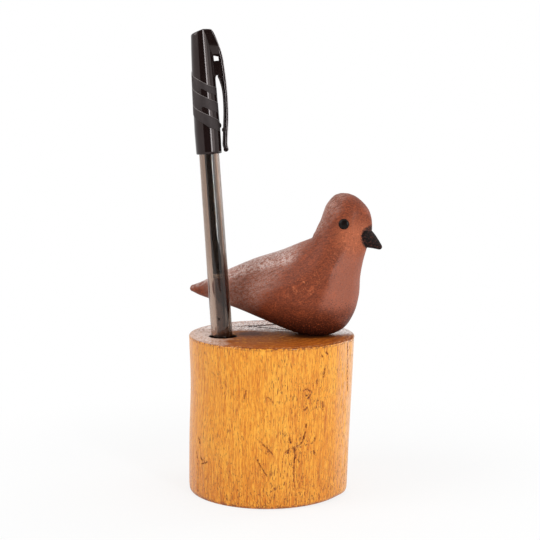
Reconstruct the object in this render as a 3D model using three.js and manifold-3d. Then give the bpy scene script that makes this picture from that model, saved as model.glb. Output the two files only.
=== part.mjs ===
// A log-section pen holder with a carved dove on top, and a capped ballpoint pen in its hole.
// Millimetres. +Z is up, +X is the way the dove faces and -Y is the front.
// The origin is at the middle of the block's foot.

import * as THREE from 'three';
import { mergeVertices } from 'three/addons/utils/BufferGeometryUtils.js';
import Module from 'manifold-3d';

const wasm = await Module();
wasm.setup();

// Clearances between pieces
const pegGap = 0.12;
const seatGap = 0.1;
const holeTailGap = 0.2;
const holeRimGap = 0.7;
const capGap = 0.3;
const grooveGap = 0.05;
const clipRootGap = 0.3;

// Base block: a debarked log section, a little off round and leaning to +X
const blockHeight = 62.3;
const blockFootRadius = 32.3;
const blockTopRadius = 33.5;
const blockTopShift = 1.4;
const rimBevel = 0.7;
const footBevel = 0.9;
const ovalDepth = 0.5;
const ovalAngle = THREE.MathUtils.degToRad(100);
const ridgeHeight = 0.7;
const ridgeWidth = THREE.MathUtils.degToRad(7);
const ridgeAngle = THREE.MathUtils.degToRad(-21);
const blockSides = 36;

// Pen hole
const holeX = -17.7;
const holeY = -6.4;
const holeDiameter = 10.6;
const holeDepth = 32;
const holeSides = 20;

// Dove: where it stands, the way it is turned and the thin dowel under it
const doveX = 19;
const doveY = -1;
const doveTurn = THREE.MathUtils.degToRad(-15);
const dowelRadius = 1.1;
const dowelForward = 1.5;
const dowelInBlock = 12;
const dowelInDove = 14;
const dowelSides = 8;

// Dove stations from tail to crown, above the block's top: the back point and the belly point
// of each section [forward, up] and half its width
const doveTailTip = [-52.4, 16.7];
const doveStations = [
  { back: [-51.2, 18.1], belly: [-51.2, 15.3], side: 2.6 },
  { back: [-48.3, 19.2], belly: [-48.0, 13.95], side: 4.2 },
  { back: [-42.0, 22.2], belly: [-41.0, 11.8], side: 5.6 },
  { back: [-33.5, 26.1], belly: [-31.5, 8.9], side: 7.8 },
  { back: [-24.5, 29.9], belly: [-20.9, 5.0], side: 10.4 },
  { back: [-14.5, 33.2], belly: [-11.0, 1.4], side: 12.8 },
  { back: [-6.5, 36.5], belly: [0.0, -0.9], side: 13.8 },
  { back: [-2.6, 38.0], belly: [10.6, 2.3], side: 13.6 },
  { back: [-1.5, 38.5], belly: [15.0, 8.3], side: 12.9 },
  { back: [-1.1, 39.1], belly: [17.1, 15.5], side: 11.8 },
  { back: [-0.8, 40.0], belly: [17.7, 23.5], side: 10.5 },
  { back: [-0.3, 41.4], belly: [18.8, 29.5], side: 9.2 },
  { back: [0.3, 43.3], belly: [20.5, 35.5], side: 8.4 },
  { back: [1.65, 45.7], belly: [22.2, 41.0], side: 8.2 },
  { back: [2.7, 48.6], belly: [22.2, 45.8], side: 8.0 },
  { back: [4.1, 51.4], belly: [20.9, 49.8], side: 7.3 },
  { back: [5.9, 53.9], belly: [18.5, 52.8], side: 5.9 },
  { back: [7.7, 55.55], belly: [15.6, 55.05], side: 4.0 },
  { back: [9.3, 56.1], belly: [13.4, 55.95], side: 2.2 },
];
const doveCrown = [11.2, 56.25];
const doveSides = 28;
const doveStepsPerStation = 2;

// Beak and eyes
const beakBase = [19.2, 39.2];
const beakBend = [21.9, 38.0];
const beakTip = [26.2, 34.8];
const beakRadius = 4.1;
const beakPegRadius = 1.8;
const beakPegLength = 5;
// The beak's cone along its bend from base to tip: share of its radius at a share of the way
const beakSwell = [[0.93, 0.25], [0.66, 0.6], [0.3, 0.92]];
const eyeForward = 12.8;
const eyeUp = 44.7;
const eyeRadius = 2.05;
const eyeDepth = 3;
const eyeDomeHeight = 0.6;
// The eye's dome: share of its radius at a share of its height
const eyeDome = [[0.87, 0.5], [0.5, 0.87]];
const pegSides = 28;

// Pen: barrel, tail plug, refill and point, measured along the pen from its tail
const barrelTailRadius = 4.2;
const barrelMouthRadius = 3.9;
const barrelWall = 1.1;
const barrelStraight = 40;
const plugRadius = 3.4;
const plugLength = 12;
const plugSpigot = 5;
const plugChamfer = 0.8;
const capMouth = 103.4;
const barrelInCap = 10;
const refillStart = 22;
const refillRadius = 1.5;
const refillWall = 0.35;
const refillInNose = 5.1;
const inkStart = 56.4;
const noseLength = 17;
const noseEndRadius = 1.75;
const noseSpigot = 8;
const pointRadius = 1.1;
const pointStemLength = 6;
const pointOut = 5;
const pointTaper = 3.6;
const pointEndRadius = 0.65;
const ballRadius = 0.35;
const ballProud = 0.15;
const refillSides = 24;

// Cap: radius at heights over its mouth, its slanted top and the clip
const capProfile = [[4.95, 0], [5.05, 9], [4.8, 20], [4.55, 29], [4.08, 40], [3.65, 47.6]];
const capMouthLip = 0.25;
const capTopSlant = THREE.MathUtils.degToRad(18);
const capTopLow = 45.9;
const capRoof = 2.4;
const capWall = 1.1;
const capSocketDepth = 12;
const capBead = { out: 4.15, height: 10.7, radius: 1.4 };
const clipWidth = 4.2;
const clipCut = 29;
const clipWindow = { inner: 4.4, outer: 6.4, low: 35.3, high: 37.3 };
const clipCutOuter = 8.4;
const clipCutInner = 5.6;
const clipRootOutline = [[0.5, 45.8], [1.2, 47.55], [4.5, 47.2], [6.5, 42.4], [7.8, 37],
  [clipCutOuter, clipCut], [clipCutInner, clipCut], [5.2, 29.8], [4.75, 29.6], [4.5, 28.2], [2.5, 28.2]];
const clipArmOuter = [[8.6, 26], [8.7, 20.3], [8.35, 12.4], [7.5, 5], [7.8, 1.3]];
const clipArmInner = [[6.6, 0.5], [5.5, 2.6], [5.6, 4.8], [6.2, 10.2], [6.75, 16.5], [6.85, 21], [6.5, 25.3]];
const clipBead = { out: 6.6, height: 8.9, radius: 1.05 };
const beadSides = 16;
const beadRings = 10;

// Grip bands that wind down the cap, each in its groove
const bandDrop = 5.9;
const bandFrom = THREE.MathUtils.degToRad(-14);
const bandTo = THREE.MathUtils.degToRad(-255);
const bandGroove = 0.28;
const bandProud = 0.15;
const lowerBandHeight = 13.2;
const lowerBandWidth = 4.6;
const middleBandWidth = 4.2;
const upperBandWidth = 2.9;
const bandSpacing = 2.4;
const bandSteps = 40;
const roundSides = 40;

// How far a cutter runs past the face that it opens, how large a block that cuts a whole side away is,
// and how near points are welded
const cutterPast = 1;
const cutterSize = 160;
const weldReach = 1e-5;

// Solids: from a closed mesh to a manifold and back

function solidOf(geometry) {
  const bare = geometry.clone();
  bare.deleteAttribute('normal');
  bare.deleteAttribute('uv');
  const merged = mergeVertices(bare, weldReach);
  return new wasm.Manifold(new wasm.Mesh({
    numProp: 3,
    vertProperties: new Float32Array(merged.attributes.position.array),
    triVerts: new Uint32Array(merged.index.array),
  }));
}

function geometryOf(solid) {
  const mesh = solid.getMesh();
  const geometry = new THREE.BufferGeometry();
  geometry.setAttribute('position', new THREE.BufferAttribute(mesh.vertProperties, 3));
  geometry.setIndex(new THREE.BufferAttribute(mesh.triVerts, 1));
  const flat = geometry.toNonIndexed();
  flat.computeVertexNormals();
  return flat;
}

// Rings of equal point counts become a closed skin, ended by a point or by the middle of a ring
function skin(rings, startPoint, endPoint) {
  const count = rings[0].length;
  const middle = (ring) => ring.reduce((sum, p) => sum.add(p), new THREE.Vector3()).divideScalar(count);
  const points = rings.flat();
  const startIndex = points.length;
  points.push(startPoint ?? middle(rings[0]));
  points.push(endPoint ?? middle(rings[rings.length - 1]));
  const faces = [];
  for (let side = 0; side < count; side += 1) {
    const next = (side + 1) % count;
    faces.push(startIndex, next, side);
    for (let ring = 0; ring < rings.length - 1; ring += 1) {
      const low = ring * count;
      const high = low + count;
      faces.push(low + side, low + next, high + next);
      faces.push(low + side, high + next, high + side);
    }
    const last = (rings.length - 1) * count;
    faces.push(startIndex + 1, last + side, last + next);
  }
  const geometry = new THREE.BufferGeometry().setFromPoints(points);
  geometry.setIndex(faces);
  return geometry;
}

// A lathe about Z from [radius, height] points
function turned(profile, sides = roundSides) {
  const points = profile.map(([radius, height]) => new THREE.Vector2(radius, height));
  return new THREE.LatheGeometry(points, sides).rotateX(Math.PI / 2);
}

function rod(radius, low, high, sides = roundSides) {
  return turned([[0, low], [radius, low], [radius, high], [0, high]], sides);
}

// A plate in the clip's plane: [out from the axis, up the pen] points, with the width along Y
function clipPlate(outline, width) {
  const shape = new THREE.Shape(outline.map(([out, up]) => new THREE.Vector2(out, up)));
  const plate = new THREE.ExtrudeGeometry(shape, { depth: width, bevelEnabled: false });
  return plate.rotateX(Math.PI / 2).translate(0, width / 2, 0);
}

// Base block

function blockRadiusFactor(angle) {
  const oval = ovalDepth * Math.cos(2 * (angle - ovalAngle));
  const fromRidge = Math.atan2(Math.sin(angle - ridgeAngle), Math.cos(angle - ridgeAngle));
  const ridge = ridgeHeight * Math.exp(-((fromRidge / ridgeWidth) ** 2));
  return (blockTopRadius + oval + ridge) / blockTopRadius;
}

function blockRing(height, inset) {
  const share = height / blockHeight;
  const radius = THREE.MathUtils.lerp(blockFootRadius, blockTopRadius, share) - inset;
  return Array.from({ length: blockSides }, (_, side) => {
    const angle = (side / blockSides) * 2 * Math.PI;
    const reach = radius * blockRadiusFactor(angle);
    const shift = blockTopShift * share;
    return new THREE.Vector3(reach * Math.cos(angle) + shift, reach * Math.sin(angle), height);
  });
}

function dowelPlace() {
  const offset = new THREE.Vector2(dowelForward, 0).rotateAround(new THREE.Vector2(), doveTurn);
  return new THREE.Vector2(doveX + offset.x, doveY + offset.y);
}

function baseBlock() {
  const body = solidOf(skin([
    blockRing(0, footBevel),
    blockRing(footBevel, 0),
    blockRing(blockHeight - rimBevel, 0),
    blockRing(blockHeight, rimBevel),
  ]));
  const penHole = rod(holeDiameter / 2, blockHeight - holeDepth, blockHeight + cutterPast, holeSides);
  const at = dowelPlace();
  const dowelLow = blockHeight - dowelInBlock - seatGap;
  const dowelHole = rod(dowelRadius + pegGap, dowelLow, blockHeight + cutterPast, dowelSides);
  return geometryOf(body
    .subtract(solidOf(penHole.translate(holeX, holeY, 0)))
    .subtract(solidOf(dowelHole.translate(at.x, at.y, 0))));
}

// Dove, in its own frame: +X forward, +Z up from the block's top

function doveRings() {
  const trail = (pick) => new THREE.CatmullRomCurve3(
    doveStations.map((station) => new THREE.Vector3(...pick(station), 0)), false, 'centripetal');
  const back = trail((station) => station.back);
  const belly = trail((station) => station.belly);
  const side = trail((station) => [station.side, 0]);
  const steps = (doveStations.length - 1) * doveStepsPerStation;
  return Array.from({ length: steps + 1 }, (_, step) => {
    const top = back.getPoint(step / steps);
    const low = belly.getPoint(step / steps);
    const half = side.getPoint(step / steps).x;
    return Array.from({ length: doveSides }, (_unused, index) => {
      const angle = (index / doveSides) * 2 * Math.PI;
      const share = (1 + Math.cos(angle)) / 2;
      const x = THREE.MathUtils.lerp(low.x, top.x, share);
      const z = THREE.MathUtils.lerp(low.y, top.y, share);
      return new THREE.Vector3(x, -half * Math.sin(angle), z);
    });
  });
}

function doveSkin() {
  const tip = new THREE.Vector3(doveTailTip[0], 0, doveTailTip[1]);
  const crown = new THREE.Vector3(doveCrown[0], 0, doveCrown[1]);
  return solidOf(skin(doveRings(), tip, crown));
}

const beakCurve = new THREE.QuadraticBezierCurve3(
  new THREE.Vector3(beakBase[0], 0, beakBase[1]),
  new THREE.Vector3(beakBend[0], 0, beakBend[1]),
  new THREE.Vector3(beakTip[0], 0, beakTip[1]));

// A point at a share of the beak's bent axis, moved on along it by a distance
function beakPoint(share, past) {
  return beakCurve.getPoint(share).addScaledVector(beakCurve.getTangent(share), past);
}

function beakRing(share, past, radius) {
  const centre = beakPoint(share, past);
  const along = beakCurve.getTangent(share);
  const across = new THREE.Vector3(-along.z, 0, along.x);
  return Array.from({ length: pegSides }, (_, side) => {
    const angle = (side / pegSides) * 2 * Math.PI;
    const spot = centre.clone().addScaledVector(across, radius * Math.cos(angle));
    return spot.setY(-radius * Math.sin(angle));
  });
}

// The beak is a blunt, drooping cone on a peg
function beakShape(grow) {
  return skin([
    beakRing(0, -beakPegLength - grow, beakPegRadius + grow),
    beakRing(0, -grow, beakPegRadius + grow),
    beakRing(0, -grow, beakRadius + grow),
    ...beakSwell.map(([out, along]) => beakRing(along, 0, beakRadius * out + grow)),
  ], beakPoint(0, -beakPegLength - grow), beakPoint(1, grow));
}

// How far the dove's bare skin reaches sideways at the eye
function eyeReach(whole) {
  const probe = rod(pegGap, 0, cutterSize, pegSides).rotateX(-Math.PI / 2).translate(eyeForward, 0, eyeUp);
  return whole.intersect(solidOf(probe)).boundingBox().max[1];
}

const doveWhole = doveSkin();
const eyeOut = eyeReach(doveWhole);

// An eye peg along +Y: a short rod with a domed head
function eyeShape(grow) {
  const profile = [
    [0, -eyeDepth - grow],
    [eyeRadius + grow, -eyeDepth - grow],
    [eyeRadius + grow, 0],
    ...eyeDome.map(([out, high]) => [eyeRadius * out + grow, eyeDomeHeight * high]),
    [0, eyeDomeHeight + grow],
  ];
  return turned(profile, pegSides).rotateX(-Math.PI / 2).translate(eyeForward, eyeOut, eyeUp);
}

function doveBody() {
  const under = solidOf(new THREE.BoxGeometry(cutterSize, cutterSize, cutterSize)
    .translate(0, 0, seatGap - cutterSize / 2));
  const bore = rod(dowelRadius + pegGap, -cutterPast, dowelInDove + seatGap, dowelSides)
    .translate(dowelForward, 0, 0);
  const eye = solidOf(eyeShape(pegGap));
  return geometryOf(doveWhole
    .subtract(under)
    .subtract(solidOf(bore))
    .subtract(solidOf(beakShape(pegGap)))
    .subtract(eye)
    .subtract(eye.mirror([0, 1, 0])));
}

function eyePeg(sideSign) {
  const peg = solidOf(eyeShape(0));
  return geometryOf(sideSign > 0 ? peg : peg.mirror([0, 1, 0]));
}

// Pen: it leans from the hole's wall at its tail to the rim on the other side

const holeRadius = holeDiameter / 2;
const tailOffset = holeRadius - holeTailGap - plugRadius;
const rimOffset = holeRadius - holeRimGap - barrelTailRadius;
const penLean = Math.atan((tailOffset + rimOffset) / holeDepth);
const penBase = new THREE.Vector3(
  holeX + tailOffset, holeY, blockHeight - holeDepth + seatGap + plugRadius * Math.sin(penLean));
const boreRadius = barrelMouthRadius - barrelWall;
const barrelLow = plugLength + seatGap;
const barrelHigh = capMouth + barrelInCap;
const noseLow = barrelHigh + seatGap;
const noseHigh = noseLow + noseLength;
const refillHigh = noseLow + refillInNose;
const pointLow = refillHigh + seatGap;
const pointHigh = noseHigh + pointOut;

function penBarrel() {
  return turned([
    [boreRadius, barrelLow],
    [barrelTailRadius, barrelLow],
    [barrelTailRadius, barrelStraight],
    [barrelMouthRadius, capMouth],
    [barrelMouthRadius, barrelHigh],
    [boreRadius, barrelHigh],
    [boreRadius, barrelLow],
  ]);
}

function tailPlug() {
  const spigot = boreRadius - pegGap;
  return turned([
    [0, 0],
    [plugRadius - plugChamfer, 0],
    [plugRadius, plugChamfer],
    [plugRadius, plugLength],
    [spigot, plugLength],
    [spigot, plugLength + plugSpigot],
    [0, plugLength + plugSpigot],
  ]);
}

function refillTube() {
  const inner = refillRadius - refillWall;
  return turned([
    [inner, refillStart],
    [refillRadius, refillStart],
    [refillRadius, refillHigh],
    [inner, refillHigh],
    [inner, refillStart],
  ], refillSides);
}

function noseCone() {
  const spigot = boreRadius - pegGap;
  const spigotLow = barrelHigh - noseSpigot;
  const refillBore = refillRadius + pegGap;
  const pointBore = pointRadius + pegGap;
  return turned([
    [refillBore, spigotLow],
    [spigot, spigotLow],
    [spigot, noseLow],
    [barrelMouthRadius, noseLow],
    [noseEndRadius, noseHigh],
    [pointBore, noseHigh],
    [pointBore, pointLow],
    [refillBore, pointLow],
    [refillBore, spigotLow],
  ]);
}

function writingPoint() {
  const socket = ballRadius + pegGap;
  const stem = refillRadius - refillWall - pegGap;
  return turned([
    [0, pointLow - pointStemLength],
    [stem, pointLow - pointStemLength],
    [stem, pointLow],
    [pointRadius, pointLow],
    [pointRadius, pointHigh - pointTaper],
    [pointEndRadius, pointHigh],
    [socket, pointHigh],
    [socket, pointHigh - 2 * ballRadius],
    [0, pointHigh - 2 * ballRadius],
  ], refillSides);
}

function writingBall() {
  return new THREE.SphereGeometry(ballRadius, beadSides, beadRings)
    .translate(0, 0, pointHigh - ballRadius + ballProud);
}

// Cap, in the pen's frame, with its mouth at capMouth

function capRadius(height) {
  const after = capProfile.findIndex(([, level]) => level >= height);
  const [highRadius, high] = capProfile[Math.max(after, 1)];
  const [lowRadius, low] = capProfile[Math.max(after, 1) - 1];
  return THREE.MathUtils.mapLinear(height, low, high, lowRadius, highRadius);
}

const middleBandHeight = lowerBandHeight + (lowerBandWidth + middleBandWidth) / 2 + bandSpacing;
const upperBandHeight = middleBandHeight + (middleBandWidth + upperBandWidth) / 2 + bandSpacing;
const bands = [
  { name: 'cap_grip_band_upper', height: upperBandHeight, width: upperBandWidth },
  { name: 'cap_grip_band_middle', height: middleBandHeight, width: middleBandWidth },
  { name: 'cap_grip_band_lower', height: lowerBandHeight, width: lowerBandWidth },
];

// A band follows the cap's surface between two offsets from it, and drops evenly as it goes round
function bandSolid(band, innerOffset, outerOffset, width, extra) {
  const rings = Array.from({ length: bandSteps + 1 }, (_, step) => {
    const angle = THREE.MathUtils.lerp(bandFrom + extra, bandTo - extra, step / bandSteps);
    const middle = band.height - (bandDrop * (angle + Math.PI / 2)) / Math.PI;
    const corner = (offset, side) => {
      const height = middle + (side * width) / 2;
      const radius = capRadius(height) + offset;
      return new THREE.Vector3(radius * Math.cos(angle), radius * Math.sin(angle), height + capMouth);
    };
    return [corner(innerOffset, 1), corner(innerOffset, -1), corner(outerOffset, -1), corner(outerOffset, 1)];
  });
  return solidOf(skin(rings));
}

function gripBand(band) {
  return geometryOf(bandSolid(band, grooveGap - bandGroove, bandProud, band.width, 0));
}

function bandGrooves() {
  const slack = grooveGap / capProfile[0][0];
  return bands
    .map((band) => bandSolid(band, -bandGroove, cutterPast, band.width + 2 * grooveGap, slack))
    .reduce((sum, groove) => sum.add(groove));
}

function capShell() {
  const capHeight = capProfile[capProfile.length - 1][1];
  const socket = barrelMouthRadius + capGap;
  const roof = capTopLow - capRoof;
  const outer = turned([
    [0, 0],
    [capProfile[0][0] - capMouthLip, 0],
    [capProfile[0][0], capMouthLip],
    ...capProfile.slice(1),
    [0, capHeight],
  ]);
  const inner = turned([
    [0, -cutterPast],
    [socket, -cutterPast],
    [socket, capSocketDepth],
    [capRadius(roof) - capWall, roof],
    [0, roof],
  ]);
  const wedge = new THREE.BoxGeometry(cutterSize, cutterSize, cutterSize)
    .translate(0, 0, cutterSize / 2)
    .rotateY(-capTopSlant)
    .translate(-capRadius(capTopLow), 0, capTopLow);
  const window = new THREE.BoxGeometry(
    clipWindow.outer - clipWindow.inner, 2 * clipWidth, clipWindow.high - clipWindow.low)
    .translate((clipWindow.outer + clipWindow.inner) / 2, 0, (clipWindow.low + clipWindow.high) / 2);
  const bead = new THREE.SphereGeometry(capBead.radius, beadSides, beadRings)
    .translate(capBead.out, 0, capBead.height);
  const root = solidOf(clipPlate(clipRootOutline, clipWidth)).subtract(solidOf(window));
  const shell = solidOf(outer)
    .subtract(solidOf(wedge))
    .add(root)
    .add(solidOf(bead))
    .subtract(solidOf(inner));
  return geometryOf(shell.translate([0, 0, capMouth]).subtract(bandGrooves()));
}

function penClip() {
  const top = clipCut - clipRootGap;
  const outline = [
    [clipCutInner, top],
    ...clipArmInner.slice().reverse(),
    ...clipArmOuter.slice().reverse(),
    [clipCutOuter, top],
  ];
  const bead = new THREE.SphereGeometry(clipBead.radius, beadSides, beadRings)
    .translate(clipBead.out, 0, clipBead.height);
  const arm = solidOf(clipPlate(outline, clipWidth)).add(solidOf(bead));
  return geometryOf(arm.translate([0, 0, capMouth]));
}

// Finishes

const finish = {
  varnishedLog: { color: 0xe89c42, roughness: 0.35, metalness: 0 },
  stainedWood: { color: 0x8a4f3c, roughness: 0.4, metalness: 0 },
  blackWood: { color: 0x2a1e1d, roughness: 0.55, metalness: 0 },
  blackBead: { color: 0x191210, roughness: 0.3, metalness: 0 },
  paleDowel: { color: 0xd8b483, roughness: 0.7, metalness: 0 },
  smokyPlastic: { color: 0x96826f, roughness: 0.15, metalness: 0, transparent: true, opacity: 0.45 },
  smokyPlug: { color: 0x4a403c, roughness: 0.3, metalness: 0 },
  clearTube: { color: 0xcfc8c0, roughness: 0.2, metalness: 0, transparent: true, opacity: 0.5 },
  darkInk: { color: 0x1b1a22, roughness: 0.25, metalness: 0 },
  blackGloss: { color: 0x1d1917, roughness: 0.2, metalness: 0 },
  blackMatte: { color: 0x3f3b39, roughness: 0.75, metalness: 0 },
  nickel: { color: 0xb9b2a4, roughness: 0.3, metalness: 1 },
  steel: { color: 0xc8c8c8, roughness: 0.2, metalness: 1 },
};

function piece(name, geometry, look) {
  const mesh = new THREE.Mesh(geometry, new THREE.MeshStandardMaterial(look));
  mesh.name = name;
  return mesh;
}

// Assembly

const group = new THREE.Group();
group.add(piece('base_block', baseBlock(), finish.varnishedLog));

const dowelAt = dowelPlace();
const dowel = rod(dowelRadius, blockHeight - dowelInBlock, blockHeight + dowelInDove, dowelSides);
group.add(piece('bird_dowel', dowel.translate(dowelAt.x, dowelAt.y, 0), finish.paleDowel));

const dove = new THREE.Group();
dove.position.set(doveX, doveY, blockHeight);
dove.rotation.z = doveTurn;
dove.add(piece('bird_body', doveBody(), finish.stainedWood));
dove.add(piece('bird_beak', geometryOf(solidOf(beakShape(0))), finish.blackWood));
dove.add(piece('bird_eye_left', eyePeg(1), finish.blackBead));
dove.add(piece('bird_eye_right', eyePeg(-1), finish.blackBead));
group.add(dove);

const pen = new THREE.Group();
pen.position.copy(penBase);
pen.rotation.y = -penLean;
pen.add(piece('pen_barrel', penBarrel(), finish.smokyPlastic));
pen.add(piece('pen_tail_plug', tailPlug(), finish.smokyPlug));
pen.add(piece('refill_tube', refillTube(), finish.clearTube));
pen.add(piece('ink_column', rod(refillRadius - refillWall - pegGap, inkStart,
  pointLow - pointStemLength - seatGap, refillSides), finish.darkInk));
pen.add(piece('pen_nose_cone', noseCone(), finish.smokyPlug));
pen.add(piece('writing_point', writingPoint(), finish.nickel));
pen.add(piece('writing_ball', writingBall(), finish.steel));
pen.add(piece('cap_shell', capShell(), finish.blackGloss));
bands.forEach((band) => pen.add(piece(band.name, gripBand(band), finish.blackMatte)));
pen.add(piece('pen_clip', penClip(), finish.blackGloss));
group.add(pen);

export default group;
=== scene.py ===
import math

import bpy
import numpy as np
from bpy.props import FloatProperty, FloatVectorProperty, PointerProperty
from bpy.types import Operator, Panel, PropertyGroup
from mathutils import Matrix, Vector


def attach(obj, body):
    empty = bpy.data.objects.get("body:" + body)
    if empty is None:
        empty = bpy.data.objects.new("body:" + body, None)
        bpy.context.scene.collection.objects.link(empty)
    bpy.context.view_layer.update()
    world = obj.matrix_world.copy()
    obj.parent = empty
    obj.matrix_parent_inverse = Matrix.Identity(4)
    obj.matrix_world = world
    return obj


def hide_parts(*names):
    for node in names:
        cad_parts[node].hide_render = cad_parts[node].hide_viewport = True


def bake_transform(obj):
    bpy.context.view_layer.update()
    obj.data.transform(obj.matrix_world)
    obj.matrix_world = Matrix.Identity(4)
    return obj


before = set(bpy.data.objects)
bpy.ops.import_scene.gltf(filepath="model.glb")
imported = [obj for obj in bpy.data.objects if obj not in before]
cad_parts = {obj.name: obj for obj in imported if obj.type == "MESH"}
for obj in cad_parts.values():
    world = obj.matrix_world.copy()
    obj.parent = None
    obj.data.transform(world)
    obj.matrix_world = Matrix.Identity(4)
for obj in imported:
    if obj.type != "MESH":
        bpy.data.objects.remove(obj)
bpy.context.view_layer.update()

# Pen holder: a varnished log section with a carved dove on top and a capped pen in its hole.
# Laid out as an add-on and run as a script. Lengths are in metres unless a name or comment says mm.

bl_info = {
    "name": "Dove pen holder",
    "version": (1, 0, 0),
    "blender": (4, 5, 0),
    "location": "3D View > Sidebar > Pen holder",
    "description": "Builds the visible pieces of a carved pen holder around its packed frame",
    "category": "Object",
}

MM = 0.001
MIDDLE = "middle"


def tint(red, green, blue):
    """The linear colour of an 8-bit screen colour."""
    def linear(level):
        share = level / 255
        return share / 12.92 if share <= 0.04045 else ((share + 0.055) / 1.055) ** 2.4
    return (linear(red), linear(green), linear(blue))


def length(name, description, default, **more):
    return FloatProperty(name=name, description=description, default=default, unit="LENGTH", precision=5, **more)


def colour(name, description, default):
    return FloatVectorProperty(name=name, description=description, default=default, subtype="COLOR",
                               size=3, min=0.0, max=1.0)


# Sizes and colours

class LogBlockSettings(PropertyGroup):
    height: length("Height", "Block height", 0.0623)
    foot_radius: length("Foot radius", "Radius at the foot", 0.0323)
    top_radius: length("Top radius", "Radius at the top", 0.0335)
    top_shift: length("Top shift", "How far the top leans to +X", 0.0014)
    waist: length("Waist", "How far the left side draws in", 0.0007)
    waist_height: length("Waist height", "Where the left side draws in most", 0.043)
    rim_bevel: length("Rim bevel", "Worn edge round the top", 0.0007)
    foot_bevel: length("Foot bevel", "Worn edge round the foot, at its widest", 0.0022)
    oval: length("Oval", "How far the section is off round", 0.0005)
    ridge: length("Ridge", "Height of the upright ridge at the right", 0.0007)
    hole_x: length("Hole X", "Pen hole centre, across", -0.0177)
    hole_y: length("Hole Y", "Pen hole centre, in depth", -0.0064)
    hole_radius: length("Hole radius", "Radius of the pen hole", 0.0053)
    hole_depth: length("Hole depth", "Depth of the pen hole", 0.032)
    gold: colour("Gold", "Varnished wood", tint(234, 151, 40))
    pale: colour("Pale streak", "Light streaks in the grain", tint(248, 178, 64))
    amber: colour("Amber streak", "Dark streaks in the grain", tint(192, 98, 20))
    fleck: colour("Fleck", "Pores and flecks", tint(112, 46, 14))
    end_grain: colour("End grain", "Sawn top, between pith and rim", tint(160, 92, 32))
    pith: colour("Pith", "Sawn top round the pith", tint(84, 36, 8))


class DoveSettings(PropertyGroup):
    x: length("X", "Where the dove stands, across", 0.019)
    y: length("Y", "Where the dove stands, in depth", -0.001)
    turn: FloatProperty(name="Turn", description="Turn towards the front", default=math.radians(-15),
                        subtype="ANGLE")
    seat_gap: length("Seat gap", "Height of the flat under the dove", 0.00002)
    eye_radius: length("Eye radius", "Radius of the black eye", 0.00205)
    stain: colour("Stain", "Red-brown stain", tint(126, 60, 36))
    stain_red: colour("Rubbed stain", "Where the stain is thin", tint(182, 88, 50))
    stain_dark: colour("Dark stain", "Where the stain is thick", tint(74, 32, 20))
    # The pale grey is a painted sheen: the white surroundings mirrored in the varnish of the back and tail
    sheen_grey: colour("Clouded varnish", "Where the varnish has clouded", tint(190, 148, 134))
    black: colour("Black", "Painted beak and eyes", tint(18, 12, 11))


class PenSettings(PropertyGroup):
    plug_radius: length("Plug radius", "Radius of the tail plug", 0.0034)
    plug_length: length("Plug length", "Length of the tail plug below the barrel", 0.012)
    tail_radius: length("Tail radius", "Barrel radius at the tail", 0.0042)
    mouth_radius: length("Mouth radius", "Barrel radius at the cap", 0.0039)
    wall: length("Wall", "Barrel wall", 0.0011)
    tail_gap: length("Tail gap", "Clearance from the hole's wall at the tail", 0.0002)
    rim_gap: length("Rim gap", "Clearance from the hole's rim", 0.0007)
    seat_gap: length("Seat gap", "Clearance under the tail", 0.0001)
    cap_mouth: length("Cap mouth", "Distance from the tail to the cap", 0.1034)
    smoke: colour("Smoke", "Tint of the barrel", tint(150, 127, 113))
    ink: colour("Ink", "Ink in the tube", tint(8, 8, 15))
    gloss_black: colour("Gloss black", "Cap and clip", tint(25, 15, 14))
    matte_black: colour("Matte black", "Grip bands", tint(44, 38, 38))


class StageSettings(PropertyGroup):
    camera_x: length("Camera X", "Camera place, across", 0.00081)
    camera_distance: length("Camera distance", "Distance in front of the block's middle", 0.48)
    camera_height: length("Camera height", "Height over the floor", 0.14426)
    pitch: FloatProperty(name="Pitch", description="How far the camera looks down", default=math.radians(6.71),
                         subtype="ANGLE")
    lens: FloatProperty(name="Lens", description="Focal length on a 36 mm sensor, in mm", default=81.14)
    ambient: FloatProperty(name="Ambient", description="Strength of the white surroundings", default=0.49)


# Shader writing

class Flow:
    """One output socket. Python's operators on it add Math nodes."""

    def __init__(self, finish, socket):
        self.finish = finish
        self.socket = socket

    def math(self, operation, *values, clamp=False):
        inputs = dict(enumerate((self, *values)))
        return self.finish.add("ShaderNodeMath", {"operation": operation, "use_clamp": clamp}, inputs)

    def swapped(self, operation, value):
        return self.finish.add("ShaderNodeMath", {"operation": operation}, {0: value, 1: self})

    def __add__(self, value):
        return self.math("ADD", value)

    def __radd__(self, value):
        return self.swapped("ADD", value)

    def __sub__(self, value):
        return self.math("SUBTRACT", value)

    def __rsub__(self, value):
        return self.swapped("SUBTRACT", value)

    def __mul__(self, value):
        return self.math("MULTIPLY", value)

    def __rmul__(self, value):
        return self.swapped("MULTIPLY", value)

    def smaller(self, value):
        return self.math("MINIMUM", value)

    def larger(self, value):
        return self.math("MAXIMUM", value)

    def sibling(self, name):
        """Another output of the same node."""
        return Flow(self.finish, self.socket.node.outputs[name])

    def step(self, low, high):
        """0 below low, 1 above high and smooth between. With low over high it runs the other way."""
        start, end, first, last = (low, high, 0.0, 1.0) if low < high else (high, low, 1.0, 0.0)
        return self.finish.add("ShaderNodeMapRange", {"interpolation_type": "SMOOTHSTEP"},
                               {0: self, 1: start, 2: end, 3: first, 4: last})


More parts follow.
